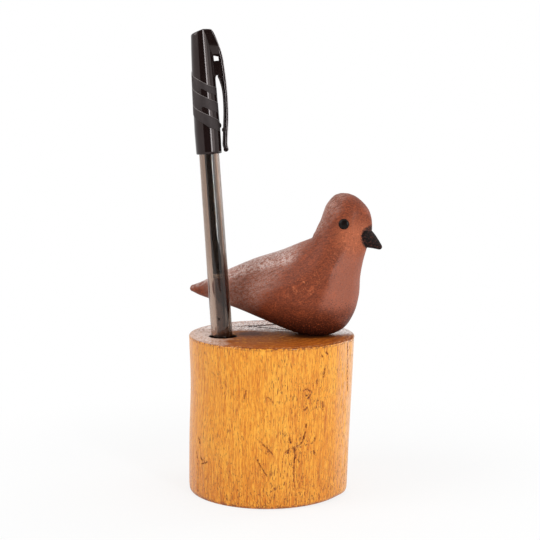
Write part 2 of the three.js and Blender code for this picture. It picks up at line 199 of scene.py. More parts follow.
class Finish:
    """A material, or the world, and the writing of its nodes."""

    def __init__(self, holder):
        self.material = bpy.data.materials.new(holder) if isinstance(holder, str) else holder
        self.material.use_nodes = True
        self.tree = self.material.node_tree
        self.shader = next(n for n in self.tree.nodes if n.type in ("BSDF_PRINCIPLED", "BACKGROUND"))

    def add(self, kind, settings=None, inputs=None, output=0):
        node = self.tree.nodes.new(kind)
        for key, value in (settings or {}).items():
            setattr(node, key, value)
        self.feed(node, inputs or {})
        return Flow(self, node.outputs[output])

    def feed(self, node, inputs):
        for key, value in inputs.items():
            if isinstance(value, Flow):
                self.tree.links.new(value.socket, node.inputs[key])
            elif node.inputs[key].type == "RGBA":
                node.inputs[key].default_value = (*value, 1.0)[:4]
            else:
                node.inputs[key].default_value = value

    def surface(self, **values):
        self.feed(self.shader, {key.replace("_", " "): value for key, value in values.items()})

    def place(self):
        """Position in mm, in the row frame."""
        spot = self.add("ShaderNodeTexCoord", output="Object")
        return self.add("ShaderNodeVectorMath", {"operation": "SCALE"}, {0: spot, "Scale": 1000.0})

    def turned(self, vector, angle, axis="Z_AXIS"):
        return self.add("ShaderNodeVectorRotate", {"rotation_type": axis}, {"Vector": vector, "Angle": angle})

    def vector(self, operation, first, second):
        return self.add("ShaderNodeVectorMath", {"operation": operation}, {0: first, 1: second})

    def parts(self, vector):
        x = self.add("ShaderNodeSeparateXYZ", {}, {0: vector})
        return x, x.sibling("Y"), x.sibling("Z")

    def join(self, x, y, z):
        return self.add("ShaderNodeCombineXYZ", {}, {0: x, 1: y, 2: z})

    def noise(self, vector, stretch=(1, 1, 1), detail=3.0, roughness=0.5):
        scaled = self.vector("MULTIPLY", vector, stretch)
        return self.add("ShaderNodeTexNoise", {}, {
            "Vector": scaled, "Scale": 1.0, "Detail": detail, "Roughness": roughness, "Distortion": 0.0})

    def mix(self, first, second, share):
        return self.add("ShaderNodeMix", {"data_type": "RGBA"}, {0: share, 6: first, 7: second}, output=2)

    def layers(self, base, *coats):
        """The base colour with each (colour, share) laid over it in turn."""
        for coat, share in coats:
            base = self.mix(base, coat, share)
        return base

    def bump(self, height, depth, strength=1.0):
        """height is 0 to 1 and depth what 1 stands for, in metres."""
        return self.add("ShaderNodeBump", {}, {"Height": height, "Distance": depth, "Strength": strength})


def flat_length(across, along):
    """Distance from the origin to a flat position, from its two coordinates."""
    return (across * across + along * along).math("SQRT")


def blot(first, second, spot, radius, soft):
    """1 within a radius of a spot and 0 outside it, from two coordinates."""
    return flat_length(first - spot[0], second - spot[1]).step(radius + soft, radius - soft)


def toned(base, share):
    """The colour made darker, or lighter with a share over 1."""
    return tuple(min(1.0, level * share) for level in base)


# Mesh writing

def rings_to_faces(ring_count, side_count, loop=False):
    faces = []
    last = ring_count if loop else ring_count - 1
    for ring in range(last):
        low = ring * side_count
        high = ((ring + 1) % ring_count) * side_count
        for side in range(side_count):
            after = (side + 1) % side_count
            faces.append((low + side, low + after, high + after, high + side))
    return faces


def skin(rings, loop=False, start=None, end=None):
    """Rings (count, sides, 3) become points and faces. start and end are the points that close the ends."""
    rings = np.asarray(rings, dtype=float)
    ring_count, side_count, _ = rings.shape
    points = rings.reshape(-1, 3)
    faces = rings_to_faces(ring_count, side_count, loop)
    if start is not None:
        hub = len(points)
        points = np.vstack([points, start])
        faces += [(hub, (side + 1) % side_count, side) for side in range(side_count)]
    if end is not None:
        hub = len(points)
        points = np.vstack([points, end])
        low = (ring_count - 1) * side_count
        faces += [(hub, low + side, low + (side + 1) % side_count) for side in range(side_count)]
    return points, faces


def placed(points, matrix):
    """Points in mm, in a piece's own frame, moved into the row frame in metres."""
    points = np.asarray(points, dtype=float) * MM
    turn = np.array(matrix.to_3x3())
    return points @ turn.T + np.array(matrix.translation)


def placed_skin(rings, matrix, start=None, end=None, loop=False):
    """Points and faces in the row frame, from rings in mm in a piece's own frame.
    start and end close the ends, each with a point or with MIDDLE, the middle of the ring there."""
    rings = np.asarray(rings, dtype=float)
    whole = placed(rings.reshape(-1, 3), matrix).reshape(rings.shape)

    def closing(point, ring):
        if point is None:
            return None
        return ring.mean(axis=0) if point is MIDDLE else placed([point], matrix)[0]

    return skin(whole, loop, closing(start, whole[0]), closing(end, whole[-1]))


def make_piece(name, points, faces, material, body, slot, replaces=(), sharp=None):
    """A smooth mesh on a body. Edges over the sharp angle, in degrees, stay hard."""
    mesh = bpy.data.meshes.new(name)
    mesh.from_pydata([tuple(p) for p in points], [], faces)
    mesh.validate()
    mesh.update()
    mesh.shade_smooth()
    piece = bpy.data.objects.new(name, mesh)
    bpy.context.scene.collection.objects.link(piece)
    if sharp is not None:
        mesh.set_sharp_from_angle(angle=math.radians(sharp))
    mesh.materials.append(material)
    if body is not None:
        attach(piece, body)
    if replaces:
        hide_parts(*replaces)
    return piece


def refinish(node, material):
    """Give a CAD piece that stays in sight a material of this scene."""
    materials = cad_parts[node].data.materials
    materials.clear()
    materials.append(material)


def circle(count):
    return np.linspace(0, 2 * math.pi, count, endpoint=False)


def turned_rings(profile, count):
    """Rings about Z from (radius, height) pairs."""
    angles = circle(count)
    return [np.stack([radius * np.cos(angles), radius * np.sin(angles), np.full(count, height)], axis=1)
            for radius, height in profile]


# A side of a profile is at least this many times as long as the rounding that it loses at each end
LEAST_SIDE = 2.2


def rounded(profile, radius, steps=4):
    """The profile with each inner corner cut by a small arc-like curve."""
    points = [Vector(p) for p in profile]
    result = [tuple(points[0])]
    for before, corner, after in zip(points, points[1:], points[2:]):
        reach = min(radius, (corner - before).length / LEAST_SIDE, (after - corner).length / LEAST_SIDE)
        first = corner + (before - corner).normalized() * reach
        last = corner + (after - corner).normalized() * reach
        for step in range(steps + 1):
            t = step / steps
            result.append(tuple(first * (1 - t) ** 2 + corner * 2 * t * (1 - t) + last * t ** 2))
    result.append(tuple(points[-1]))
    return result


def ripple(a, b, waves):
    """Smooth uneven relief from a few crossing waves: (per mm, per mm, phase, height)."""
    return sum(height * np.sin(p * a + q * b + phase) for p, q, phase, height in waves)


# Log block

# Cracks and worm marks on the block's side: [degrees round from the front, mm up] along each, and half width in mm
SIDE_MARKS = [
    ([(37.9, 59.6), (39.6, 58.8)], 0.28), ([(34.5, 58.8), (35.2, 58.0)], 0.16),
    ([(37.4, 53.2), (36.6, 50.2)], 0.22), ([(31.0, 48.9), (31.5, 48.0)], 0.28),
    ([(22.0, 45.9), (24.4, 46.4)], 0.16), ([(24.9, 45.9), (27.0, 45.3)], 0.2),
    ([(26.6, 43.9), (25.0, 42.6)], 0.22),
    ([(23.0, 44.4), (24.3, 43.6)], 0.18), ([(24.2, 39.2), (23.6, 38.2)], 0.2),
    ([(22.7, 38.6), (23.1, 38.0)], 0.14),
    ([(36.6, 40.3), (36.9, 38.6), (36.6, 37.6)], 0.22), ([(-16.3, 45.7), (-17.0, 43.0)], 0.17),
    ([(-1.9, 44.1), (1.4, 41.8)], 0.09), ([(24.3, 32.7), (24.2, 31.6)], 0.22),
    ([(24.0, 29.6), (22.6, 27.6), (22.2, 26.2), (20.7, 25.0), (18.4, 24.5), (15.6, 24.0)], 0.17),
    ([(22.9, 28.2), (23.3, 27.0)], 0.18), ([(13.0, 27.8), (13.9, 26.0)], 0.18),
    ([(10.7, 22.4), (12.6, 23.2), (12.3, 22.2)], 0.34), ([(16.3, 24.2), (17.2, 22.2), (17.3, 20.4), (16.9, 19.0)],
                                                         0.18),
    ([(16.9, 18.9), (16.6, 15.0), (17.0, 11.0)], 0.1), ([(19.4, 19.2), (20.4, 18.2)], 0.24),
    ([(-6.8, 27.0), (-2.0, 24.4), (2.1, 22.0)], 0.12), ([(-1.0, 23.0), (-2.2, 22.0)], 0.12),
    ([(-7.3, 18.9), (-5.6, 17.4), (-1.0, 13.1)], 0.12), ([(-7.6, 19.4), (-7.2, 18.7)], 0.24),
    ([(-58.2, 23.9), (-57.2, 23.2), (-56.4, 22.0)], 0.24), ([(-61.6, 17.9), (-60.1, 15.6)], 0.2),
    ([(-55.5, 16.8), (-53.0, 15.4), (-50.8, 16.6), (-50.0, 15.0), (-47.4, 15.7)], 0.2),
    ([(-53.6, 14.2), (-51.4, 14.8)], 0.2), ([(-59.6, 14.0), (-59.0, 10.4), (-59.3, 6.0), (-59.3, 0.6)], 0.13),
    ([(31.0, 21.9), (31.3, 20.6)], 0.24), ([(31.2, 26.9), (31.3, 25.9)], 0.2),
    ([(61.0, 61.6), (62.0, 56.0), (62.6, 50.0), (64.6, 42.2)], 0.11),
]
TOP_CHECK = [(-12.8, 17.6), (-7.0, 18.6), (-2.0, 20.2), (9.2, 25.0)]
TOP_SPLIT = [(-7.0, 16.6), (-2.9, 15.1), (5.0, 10.5), (13.0, 5.7)]
PITH = (-4.0, 1.1)
RIDGE_ANGLE = math.radians(-21)
RIDGE_WIDTH = math.radians(7)
OVAL_ANGLE = math.radians(100)
MEAN_RADIUS = 32.9
MARK_REACH = 3.0
BLOCK_SIDES = 720
COLUMN_CROWDING = 0.4
# Depths of small wear and relief, in metres
HOLE_WEAR = 0.0005
TOP_DIP = 0.00006
MARK_DEPTH = 0.00016
FOOT_INSET = 0.00006
WAIST_SPREAD = 0.015
# Waves of the relief: per mm one way, per mm the other way, phase and height.
# The height is a share of TOP_DIP on the top and in mm on the side.
TOP_WAVES = [(0.21, 0.13, 0.4, 0.5), (-0.12, 0.27, 2.0, 0.5), (0.5, -0.4, 1.0, 0.2)]
SIDE_WAVES = [(0.35, 0.02, 0.3, 0.05), (0.9, -0.03, 1.9, 0.025), (1.7, 0.05, 0.7, 0.015), (0.13, 0.11, 2.6, 0.05),
              (3.1, 0.02, 4.0, 0.01)]
SIDE_WAVE_CREST = 0.06
# The top's middle, and the middle of the dove's painted shadow and reflection on the top, in mm
TOP_MIDDLE_X = 1.4
DOVE_SHADE = (17.0, -7.5)


def outline_reach(settings, angles, radius):
    """How far the log's outline reaches at each angle, for a section of the given radius."""
    from_ridge = np.arctan2(np.sin(angles - RIDGE_ANGLE), np.cos(angles - RIDGE_ANGLE))
    ridge = settings.ridge * np.exp(-((from_ridge / RIDGE_WIDTH) ** 2))
    oval = settings.oval * np.cos(2 * (angles - OVAL_ANGLE))
    return radius * (settings.top_radius + oval + ridge) / settings.top_radius


def mark_distance(around, up):
    """Distance in mm to the edge of the nearest side mark, from points in mm round from the front and mm up."""
    nearest = np.full_like(around, MARK_REACH)
    for path, half in SIDE_MARKS:
        spots = [np.array([math.radians(degrees) * MEAN_RADIUS, height]) for degrees, height in path]
        for first, last in zip(spots, spots[1:]):
            run = last - first
            share = np.clip(((around - first[0]) * run[0] + (up - first[1]) * run[1]) / (run @ run), 0, 1)
            away = np.hypot(around - first[0] - share * run[0], up - first[1] - share * run[1])
            nearest = np.minimum(nearest, away - half)
    return nearest


def log_rings(settings, sides):
    """All rings of the block, from the floor of the pen hole over the top and down to the foot, with the
    points that close them and each point's distance to the nearest mark. Columns stand closer at the front."""
    angles = circle(sides)
    angles = angles - COLUMN_CROWDING * np.sin(angles + math.pi / 2)
    unit = np.stack([np.cos(angles), np.sin(angles)], axis=1)
    hole = np.array([settings.hole_x, settings.hole_y])
    floor = settings.height - settings.hole_depth
    rings = []
    distances = {}

    def add_ring(flat, height):
        rings.append(np.column_stack([flat, np.full(sides, height)]))

    for radius in (0.001, 0.003, settings.hole_radius):
        add_ring(hole + unit * radius, floor)
    for share in np.linspace(0.02, 1, 24):
        add_ring(hole + unit * settings.hole_radius, floor + (settings.hole_depth - HOLE_WEAR) * share)
    wobble = 1 + 0.25 * np.sin(3 * angles + 1.0) + 0.15 * np.sin(7 * angles)
    for share in (0.25, 0.5, 0.75, 1.0):
        swing = share * math.pi / 2
        flat = hole + unit * (settings.hole_radius + HOLE_WEAR * (1 - math.cos(swing)) * wobble)[:, None]
        add_ring(flat, settings.height - HOLE_WEAR * (1 - math.sin(swing)))

    def side_section(height, inset):
        share = height / settings.height
        radius = settings.foot_radius + (settings.top_radius - settings.foot_radius) * share
        from_waist = (height - settings.waist_height) / WAIST_SPREAD
        drawn_in = settings.waist * math.exp(-from_waist * from_waist) * np.clip(-np.cos(angles), 0, 1)
        reach = outline_reach(settings, angles, radius) - inset - drawn_in
        return unit * reach[:, None] + np.array([settings.top_shift * share, 0])

    # The sawn top and its worn, nicked rim
    edge = side_section(settings.height, settings.rim_bevel)
    inner = rings[-1][:, :2]
    for share in np.linspace(0, 1, 46)[1:]:
        flat = inner + (edge - inner) * share
        dip = TOP_DIP * ripple(flat[:, 0] / MM, flat[:, 1] / MM, TOP_WAVES)
        add_ring(flat, settings.height + np.minimum(dip - TOP_DIP, 0) * min(1, 4 * share))
    nick = (1 + 0.35 * np.sin(11 * angles + 0.6) * np.sin(4 * angles)
            + 0.3 * np.sin(29 * angles + 2) * np.sin(9 * angles))
    for share in np.linspace(0, 1, 7)[1:]:
        swing = share * math.pi / 2
        drop = settings.rim_bevel * (1 - math.cos(swing)) * (0.65 + 0.35 * nick)
        section = side_section(settings.height, 0) - unit * (settings.rim_bevel * (1 - math.sin(swing)))
        add_ring(section, settings.height - drop)

    # The side, with its low relief and its marks
    around = np.arctan2(np.sin(angles + math.pi / 2), np.cos(angles + math.pi / 2)) * MEAN_RADIUS
    for height in np.linspace(settings.height - settings.rim_bevel, settings.foot_bevel, 246)[1:]:
        up = np.full(sides, height / MM)
        relief = np.minimum(ripple(around, up, SIDE_WAVES) - SIDE_WAVE_CREST, 0)
        marks = mark_distance(around, up)
        distances[len(rings)] = marks
        inset = -relief * MM + MARK_DEPTH * np.clip(0.5 - marks / 0.3, 0, 1)
        add_ring(side_section(height, inset), height)

    # The foot, worn more on one side
    foot_bevel = settings.foot_bevel * (0.55 + 0.45 * np.cos(angles + 0.2))
    for share in np.linspace(0, 1, 12)[1:]:
        swing = share * math.pi / 2
        height = settings.foot_bevel * (1 - math.sin(swing))
        add_ring(side_section(height, foot_bevel * (1 - math.cos(swing)) + FOOT_INSET), height)
    for share in (0.9, 0.5, 0.1):
        add_ring(side_section(0, foot_bevel) * share, 0.0)
    far = np.full(sides, MARK_REACH)
    distances = np.concatenate([distances.get(index, far) for index in range(len(rings))] + [far[:2]])
    return rings, [*hole, floor], [0, 0, 0], distances


def distance_to_path(finish, spot, path):
    """Least distance from a flat position to a path of points."""
    nearest = None
    for first, last in zip(path, path[1:]):
        run = (last[0] - first[0], last[1] - first[1], 0.0)
        square = run[0] ** 2 + run[1] ** 2
        from_first = finish.vector("SUBTRACT", spot, (*first, 0.0))
        along = finish.add("ShaderNodeVectorMath", {"operation": "DOT_PRODUCT"},
                           {0: from_first, 1: (run[0] / square, run[1] / square, 0.0)}, output="Value")
        along = along.math("ADD", 0.0, clamp=True)
        on_path = finish.add("ShaderNodeVectorMath", {"operation": "SCALE"}, {0: run, "Scale": along})
        away = finish.vector("DISTANCE", from_first, on_path).sibling("Value")
        nearest = away if nearest is None else nearest.smaller(away)
    return nearest


def varnished_side(settings):
    """Upright grain under a golden varnish, with the log's own streaks, pores and marks."""
    finish = Finish("varnished_log")
    spot = finish.place()
    x, y, z = finish.parts(spot)
    wander = finish.noise(spot, (0.12, 0.12, 0.05), 2.0)
    bent = finish.vector("ADD", spot, finish.join(wander * 2.4, wander * -2.4, 0.0))
    broad = finish.noise(bent, (0.3, 0.3, 0.014), 3.0, 0.55)
    streak = finish.noise(bent, (0.8, 0.8, 0.035), 3.0, 0.6)
    thread = finish.noise(bent, (1.9, 1.9, 0.1), 2.0, 0.6)
    fibre = finish.noise(bent, (3.2, 3.2, 0.36), 2.0, 0.6)
    blotch = finish.noise(spot, (0.09, 0.09, 0.06), 3.0)
    pores = finish.noise(bent, (2.2, 2.2, 0.42), 2.0, 0.5)
    ticks = finish.noise(bent, (1.9, 1.9, 0.9), 3.0, 0.6)

    # Flecks: few at the left, many at the right front and low down
    low_down = z.step(26.0, 2.0)
    patch = blot(x, z, (15.5, 43.0), 7.0, 7.0).larger(blot(x, z, (12.0, 24.0), 6.0, 8.0))
    worn_patch = patch.larger(low_down * 0.7)
    dark_pores = pores.step(0.59, 0.65) * (0.3 + 0.45 * blotch.step(0.4, 0.62))
    flecks = (ticks + worn_patch * 0.055).step(0.625, 0.67) * (0.45 + 0.4 * worn_patch)

    # Cracks and worm marks, ragged and broken up, with stained wood and specks about them
    marks = finish.add("ShaderNodeAttribute", {"attribute_name": "mark_distance"}, output="Fac")
    ragged = finish.noise(spot, (1.7, 1.7, 1.2), 3.0, 0.7)
    dotted = finish.noise(spot, (0.9, 0.9, 0.7), 2.0, 0.6).step(0.42, 0.52)
    crack = (marks + ragged * 1.6 - 0.8).step(0.1, -0.1) * (0.4 + 0.6 * dotted)
    halo = (marks + ragged * 2.4 - 1.1).step(0.7, -0.1) * 0.4
    specks = (marks + ticks * 6.0 - 2.4).step(0.5, 0.1) * 0.6

    # The worn rim and foot
    height = settings.height / MM
    rim = z.step(height - 1.5, height - 0.4) * flat_length(x, y).step(30.6, 31.6)
    worn = finish.noise(spot, (0.9, 0.9, 0.9), 4.0, 0.65)
    side = finish.layers(
        settings.gold,
        (settings.pale, (broad * 0.6 + blotch * 0.6).step(0.54, 0.8) * 0.8),
        (settings.amber, low_down * 0.3),
        (settings.amber, streak.step(0.5, 0.72) * 0.55),
        (settings.pale, thread.step(0.5, 0.34) * 0.5),
        (settings.amber, thread.step(0.5, 0.68) * 0.6),
        (settings.amber, fibre.step(0.5, 0.62) * 0.5),
        (settings.pale, fibre.step(0.46, 0.36) * 0.5),
        # Painted sheen at the right edge: the white surroundings mirrored at a grazing angle
        (tint(244, 206, 172), x.step(24.0, 34.0) * thread.step(0.38, 0.58) * 0.6),
        (settings.fleck, dark_pores),
        (settings.fleck, flecks),
        (settings.fleck, low_down * streak.step(0.56, 0.74) * 0.4),
        (settings.amber, halo),
        (settings.fleck, specks),
        (settings.fleck, rim * worn.step(0.42, 0.6) * 0.85),
        (settings.fleck, z.step(1.8, 0.5) * worn.step(0.4, 0.6) * 0.85),
        (tint(98, 38, 12), crack * 0.95))
    relief = fibre * 0.4 + streak * 0.4 + thread * 0.4 - crack * 1.2 - dark_pores * 0.6 - flecks * 0.5
    finish.surface(Base_Color=side, Roughness=0.36 + 0.2 * fibre + 0.3 * crack, Specular_IOR_Level=0.2,
                   Coat_Weight=(0.22 + 0.26 * streak) * (1.0 - crack), Coat_Roughness=0.14,
                   Normal=finish.bump(relief, 0.00013, 0.9))
    return finish.material


def sawn_top(settings):
    """End grain about the pith. The varnish on it is thick at the back and worn in front, and a pale reflection of
    the white surroundings is painted on it.
    """
    finish = Finish("sawn_end_grain")
    spot = finish.place()
    x, y, _ = finish.parts(spot)
    wander = finish.noise(spot, (0.12, 0.12, 0.12), 2.0)
    tx, ty, _ = finish.parts(finish.vector("ADD", spot, finish.join(wander * 5.0, wander * 3.0, 0.0)))
    from_pith = flat_length(tx - PITH[0], ty - PITH[1])
    ring = (from_pith * 1.9 + finish.noise(spot, (0.2, 0.2, 0.2), 3.0) * 6.0).math("SINE") * 0.5 + 0.5
    pore = finish.noise(spot, (1.6, 0.9, 1.6), 3.0, 0.6)
    cloud = finish.noise(spot, (0.16, 0.3, 0.3), 4.0, 0.6)
    ray = finish.noise(spot, (0.5, 0.22, 0.5), 3.0, 0.6)
    speck = finish.noise(spot, (1.2, 0.42, 1.2), 3.0, 0.65)
    worn = finish.noise(spot, (0.9, 0.9, 0.9), 4.0, 0.65)
    heart = (from_pith + ray * 8.0 - 4.0).step(8.5, 2.0)

    # Where the varnish is glossy, with a painted pale reflection of the white surroundings: all of the left,
    # broken up behind and along the right
    flecked = speck.step(0.42, 0.56)
    left = (x + cloud * 10.0 - 5.0).step(-13.5, -20.5)
    back = (y + cloud * 14.0 - 7.0 + x * 0.12).step(3.0, 12.0)
    right_rear = x.step(15.0, 25.0) * (y + speck * 8.0 - 4.0).step(-6.0, 4.0)
    from_middle = flat_length(x - TOP_MIDDLE_X, y)

    # The check behind the pith, wider to the right, and the split in front of it
    flat = finish.join(x, y, 0.0)
    check = distance_to_path(finish, flat, TOP_CHECK) - (x - TOP_CHECK[0][0]) * 0.06 - 0.4
    check = check.smaller(distance_to_path(finish, flat, TOP_SPLIT) - 0.7)
    check = (check + speck * 3.0 - 1.5).step(0.6, 0.0)
    # Painted shadow and reflection of the dove, dark on the top round its seat
    shaded = blot(x, y * 1.5, DOVE_SHADE, 8.5, 3.5)

    # Inside the pen hole the wood is raw, and painted nearly black for the shade in the hole
    from_hole = flat_length(x - settings.hole_x / MM, y - settings.hole_y / MM)
    in_hole = from_hole.step(settings.hole_radius / MM + 0.6, settings.hole_radius / MM + 0.15)
    top = finish.layers(
        settings.end_grain,
        (settings.amber, from_pith.step(14.0, 34.0) * 0.6),
        (settings.gold, ring.step(0.55, 0.2) * ray.step(0.5, 0.7) * 0.5),
        (settings.fleck, ring.step(0.45, 0.95) * 0.4),
        (settings.fleck, cloud.step(0.46, 0.7) * 0.5),
        (settings.fleck, pore.step(0.5, 0.66) * 0.5),
        (settings.pith, heart * 0.85),
        # Painted pale reflection of the white surroundings, on the left, behind and at the right rear
        (tint(232, 198, 178), left * (0.45 + 0.45 * flecked)),
        (settings.amber, left * speck.step(0.42, 0.32) * 0.6),
        (tint(238, 222, 214), back * (pore.step(0.62, 0.42) * flecked)),
        (tint(238, 220, 212), right_rear * (0.35 + 0.6 * flecked)),
        (tint(70, 30, 14), back * speck.step(0.46, 0.36) * 0.85),
        # Painted glints of light along the rounded front rim
        (tint(222, 160, 110), from_middle.step(30.4, 32.2) * speck.step(0.5, 0.6) * 0.7),
        (tint(50, 20, 8), check * 0.94),
        (tint(46, 18, 5), shaded * 0.9),
        (settings.fleck, from_middle.step(32.2, 33.0) * worn.step(0.42, 0.6) * 0.85),
        (tint(32, 14, 7), in_hole * 0.94))
    relief = pore * 0.5 + ring * 0.25 + cloud * 0.4 + speck * 0.5 * back - check * 1.5
    varnish = (left * 0.45).larger(back * 0.7).larger(right_rear)
    finish.surface(Base_Color=top, Roughness=0.5 + 0.2 * pore, Specular_IOR_Level=0.1,
                   Coat_Weight=varnish * (1.0 - in_hole) * (1.0 - check) * (1.0 - shaded), Coat_Roughness=0.16,
                   Normal=finish.bump(relief, 0.00016, 0.9))
    return finish.material


class HOLDER_OT_log_block(Operator):
    """Build the varnished log section with its drilled hole"""
    bl_idname = "pen_holder.log_block"
    bl_label = "Log block"

    def execute(self, context):
        settings = context.scene.pen_holder_block
        rings, start, end, distances = log_rings(settings, BLOCK_SIDES)
        points, faces = skin(rings, start=start, end=end)
        block = make_piece("log_block", points, faces, varnished_side(settings), "holder", "varnished_log",
                           ("base_block",))
        marks = block.data.attributes.new("mark_distance", "FLOAT", "POINT")
        marks.data.foreach_set("value", distances.astype(np.float32))
        block.data.materials.append(sawn_top(settings))
        hole = Vector((settings.hole_x, settings.hole_y))
        near_hole = settings.hole_radius + 0.001
        for face in block.data.polygons:
            raised = face.center.z > settings.height - 0.25 * settings.rim_bevel
            bored = face.center.z > settings.rim_bevel * 4 and (face.center.xy - hole).length < near_hole
            face.material_index = 1 if raised or bored else 0
        return {"FINISHED"}


# Dove

# Sections from tail to crown, in mm over the block's top: back point, belly point and half width
DOVE_STATIONS = [
    ((-51.2, 18.1), (-51.2, 15.3), 2.6), ((-48.3, 19.2), (-48.0, 13.95), 4.2), ((-42.0, 22.2), (-41.0, 11.8), 5.6),
    ((-33.5, 26.1), (-31.5, 8.9), 7.8), ((-24.5, 29.9), (-20.9, 5.0), 10.4), ((-14.5, 33.2), (-11.0, 1.4), 12.8),
    ((-6.5, 36.5), (0.0, -0.9), 13.8), ((-2.6, 38.0), (10.6, 2.3), 13.6), ((-1.5, 38.5), (15.0, 8.3), 12.9),
    ((-1.1, 39.1), (17.1, 15.5), 11.8), ((-0.8, 40.0), (17.7, 23.5), 10.5), ((0.0, 41.4), (18.8, 29.5), 9.2),
    ((0.8, 43.3), (20.5, 35.5), 8.4), ((2.0, 45.7), (22.2, 41.0), 8.2), ((3.0, 48.6), (22.2, 45.8), 8.0),
    ((4.1, 51.4), (20.9, 49.8), 7.3), ((5.9, 53.9), (18.5, 52.8), 5.9), ((7.7, 55.55), (15.6, 55.05), 4.0),
    ((9.3, 56.1), (13.4, 55.95), 2.2),
]
DOVE_TAIL_TIP = (-52.4, 16.7)
DOVE_CROWN = (11.2, 56.25)
BEAK_BASE = (18.9, 39.1)
BEAK_BEND = (21.9, 38.0)
BEAK_TIP = (26.2, 34.8)
BEAK_RADIUS = 4.5
BEAK_SWELL = [(0.0, 1.0), (0.12, 0.94), (0.3, 0.81), (0.5, 0.655), (0.7, 0.47), (0.85, 0.32), (0.93, 0.24),
              (0.975, 0.16), (0.995, 0.07)]
BEAK_PEG = [(-5.0, 1.5), (-4.8, 1.8), (-0.8, 1.8), (-0.8, 3.2), (-0.5, 3.9)]
EYE_SPOT = (12.8, 44.7)
EYE_DOME = 0.75
EYE_PEG = 2.6
# The share that the knife takes off of the wood beyond a facet's plane
KNIFE_DEPTH = 0.9
DOVE_RINGS = 230
DOVE_SIDES = 132
BEAK_SIDES = 72
EYE_SIDES = 56

# Knife facets on each flank: direction it faces, distance of its plane in mm, how soft its edge is and
# the heights between which it fades in and out
KNIFE_FACETS = [
    ((0.63, 0.77, 0.0), 14.5, 2.2, (-9, -8, 29, 40)),
    ((0.10, 0.99, -0.06), 11.8, 2.4, (-9, -8, 29, 40)),
    ((-0.23, 0.87, 0.43), 21.9, 2.4, (-9, -8, 34, 42)),
    ((0.75, 0.66, 0.0), 16.7, 2.2, (29, 37, 44, 52)),
]


def smooth_curve(knots, samples):
    """Centripetal curve through the knots, at even steps of the knot count."""
    knots = np.asarray(knots, dtype=float)
    padded = np.vstack([2 * knots[0] - knots[1], knots, 2 * knots[-1] - knots[-2]])
    result = []
    for place in np.linspace(0, len(knots) - 1, samples):
        index = min(int(place), len(knots) - 2)
        share = place - index
        p0, p1, p2, p3 = padded[index:index + 4]
        gaps = [max(np.linalg.norm(b - a) ** 0.5, 1e-6) for a, b in ((p0, p1), (p1, p2), (p2, p3))]
        t0, t1, t2, t3 = 0, gaps[0], gaps[0] + gaps[1], sum(gaps)
        t = t1 + (t2 - t1) * share
        a1 = (t1 - t) / (t1 - t0) * p0 + (t - t0) / (t1 - t0) * p1
        a2 = (t2 - t) / (t2 - t1) * p1 + (t - t1) / (t2 - t1) * p2
        a3 = (t3 - t) / (t3 - t2) * p2 + (t - t2) / (t3 - t2) * p3
        b1 = (t2 - t) / (t2 - t0) * a1 + (t - t0) / (t2 - t0) * a2
        b2 = (t3 - t) / (t3 - t1) * a2 + (t - t1) / (t3 - t1) * a3
        result.append((t2 - t) / (t2 - t1) * b1 + (t - t1) / (t2 - t1) * b2)
    return np.array(result)


def carve(points, facets):
    """Points beyond a facet's plane are brought down to it, softly at its edge."""
    for direction, plane, soft, (low, full_low, full_high, high) in facets:
        rise = np.clip((points[:, 2] - low) / (full_low - low), 0, 1)
        fall = np.clip((high - points[:, 2]) / (high - full_high), 0, 1)
        share = np.minimum(rise, fall)
        depth = KNIFE_DEPTH * share * share * (3 - 2 * share)
        for flank in (-1, 1):
            face = np.array([direction[0], flank * direction[1], direction[2]])
            face = face / np.linalg.norm(face)
            over = points @ face - plane
            cut = np.clip(over, 0, None) * np.clip(over / soft, 0, 1)
            points = points - face * (cut * depth)[:, None]
    return points


def blunt_end(ring, tip, steps=5):
    """Rings that close the given one over a rounded end at the tip."""
    middle = ring.mean(axis=0)
    swings = np.linspace(0, math.pi / 2, steps + 2)[1:-1]
    return [middle + (ring - middle) * math.cos(swing) ** 1.15 + (np.array(tip) - middle) * math.sin(swing)
            for swing in swings]


def dove_points(samples, sides):
    """The carved body in its own frame, in mm, as rings from tail to crown."""
    back = smooth_curve([station[0] for station in DOVE_STATIONS], samples)
    belly = smooth_curve([station[1] for station in DOVE_STATIONS], samples)
    half = smooth_curve([(station[2], 0) for station in DOVE_STATIONS], samples)[:, 0]
    angles = circle(sides)
    share = (1 + np.cos(angles)) / 2
    rings = []
    for top, low, width in zip(back, belly, half):
        x = low[0] + (top[0] - low[0]) * share
        z = low[1] + (top[1] - low[1]) * share
        rings.append(np.column_stack([x, -width * np.sin(angles), z]))
    tail = blunt_end(rings[0], (DOVE_TAIL_TIP[0], 0, DOVE_TAIL_TIP[1]))
    crown = blunt_end(rings[-1], (DOVE_CROWN[0], 0, DOVE_CROWN[1]))
    return np.array(tail[::-1] + rings + crown)


def dove_matrix(settings, block):
    return Matrix.Translation((settings.x, settings.y, block.height)) @ Matrix.Rotation(settings.turn, 4, "Z")


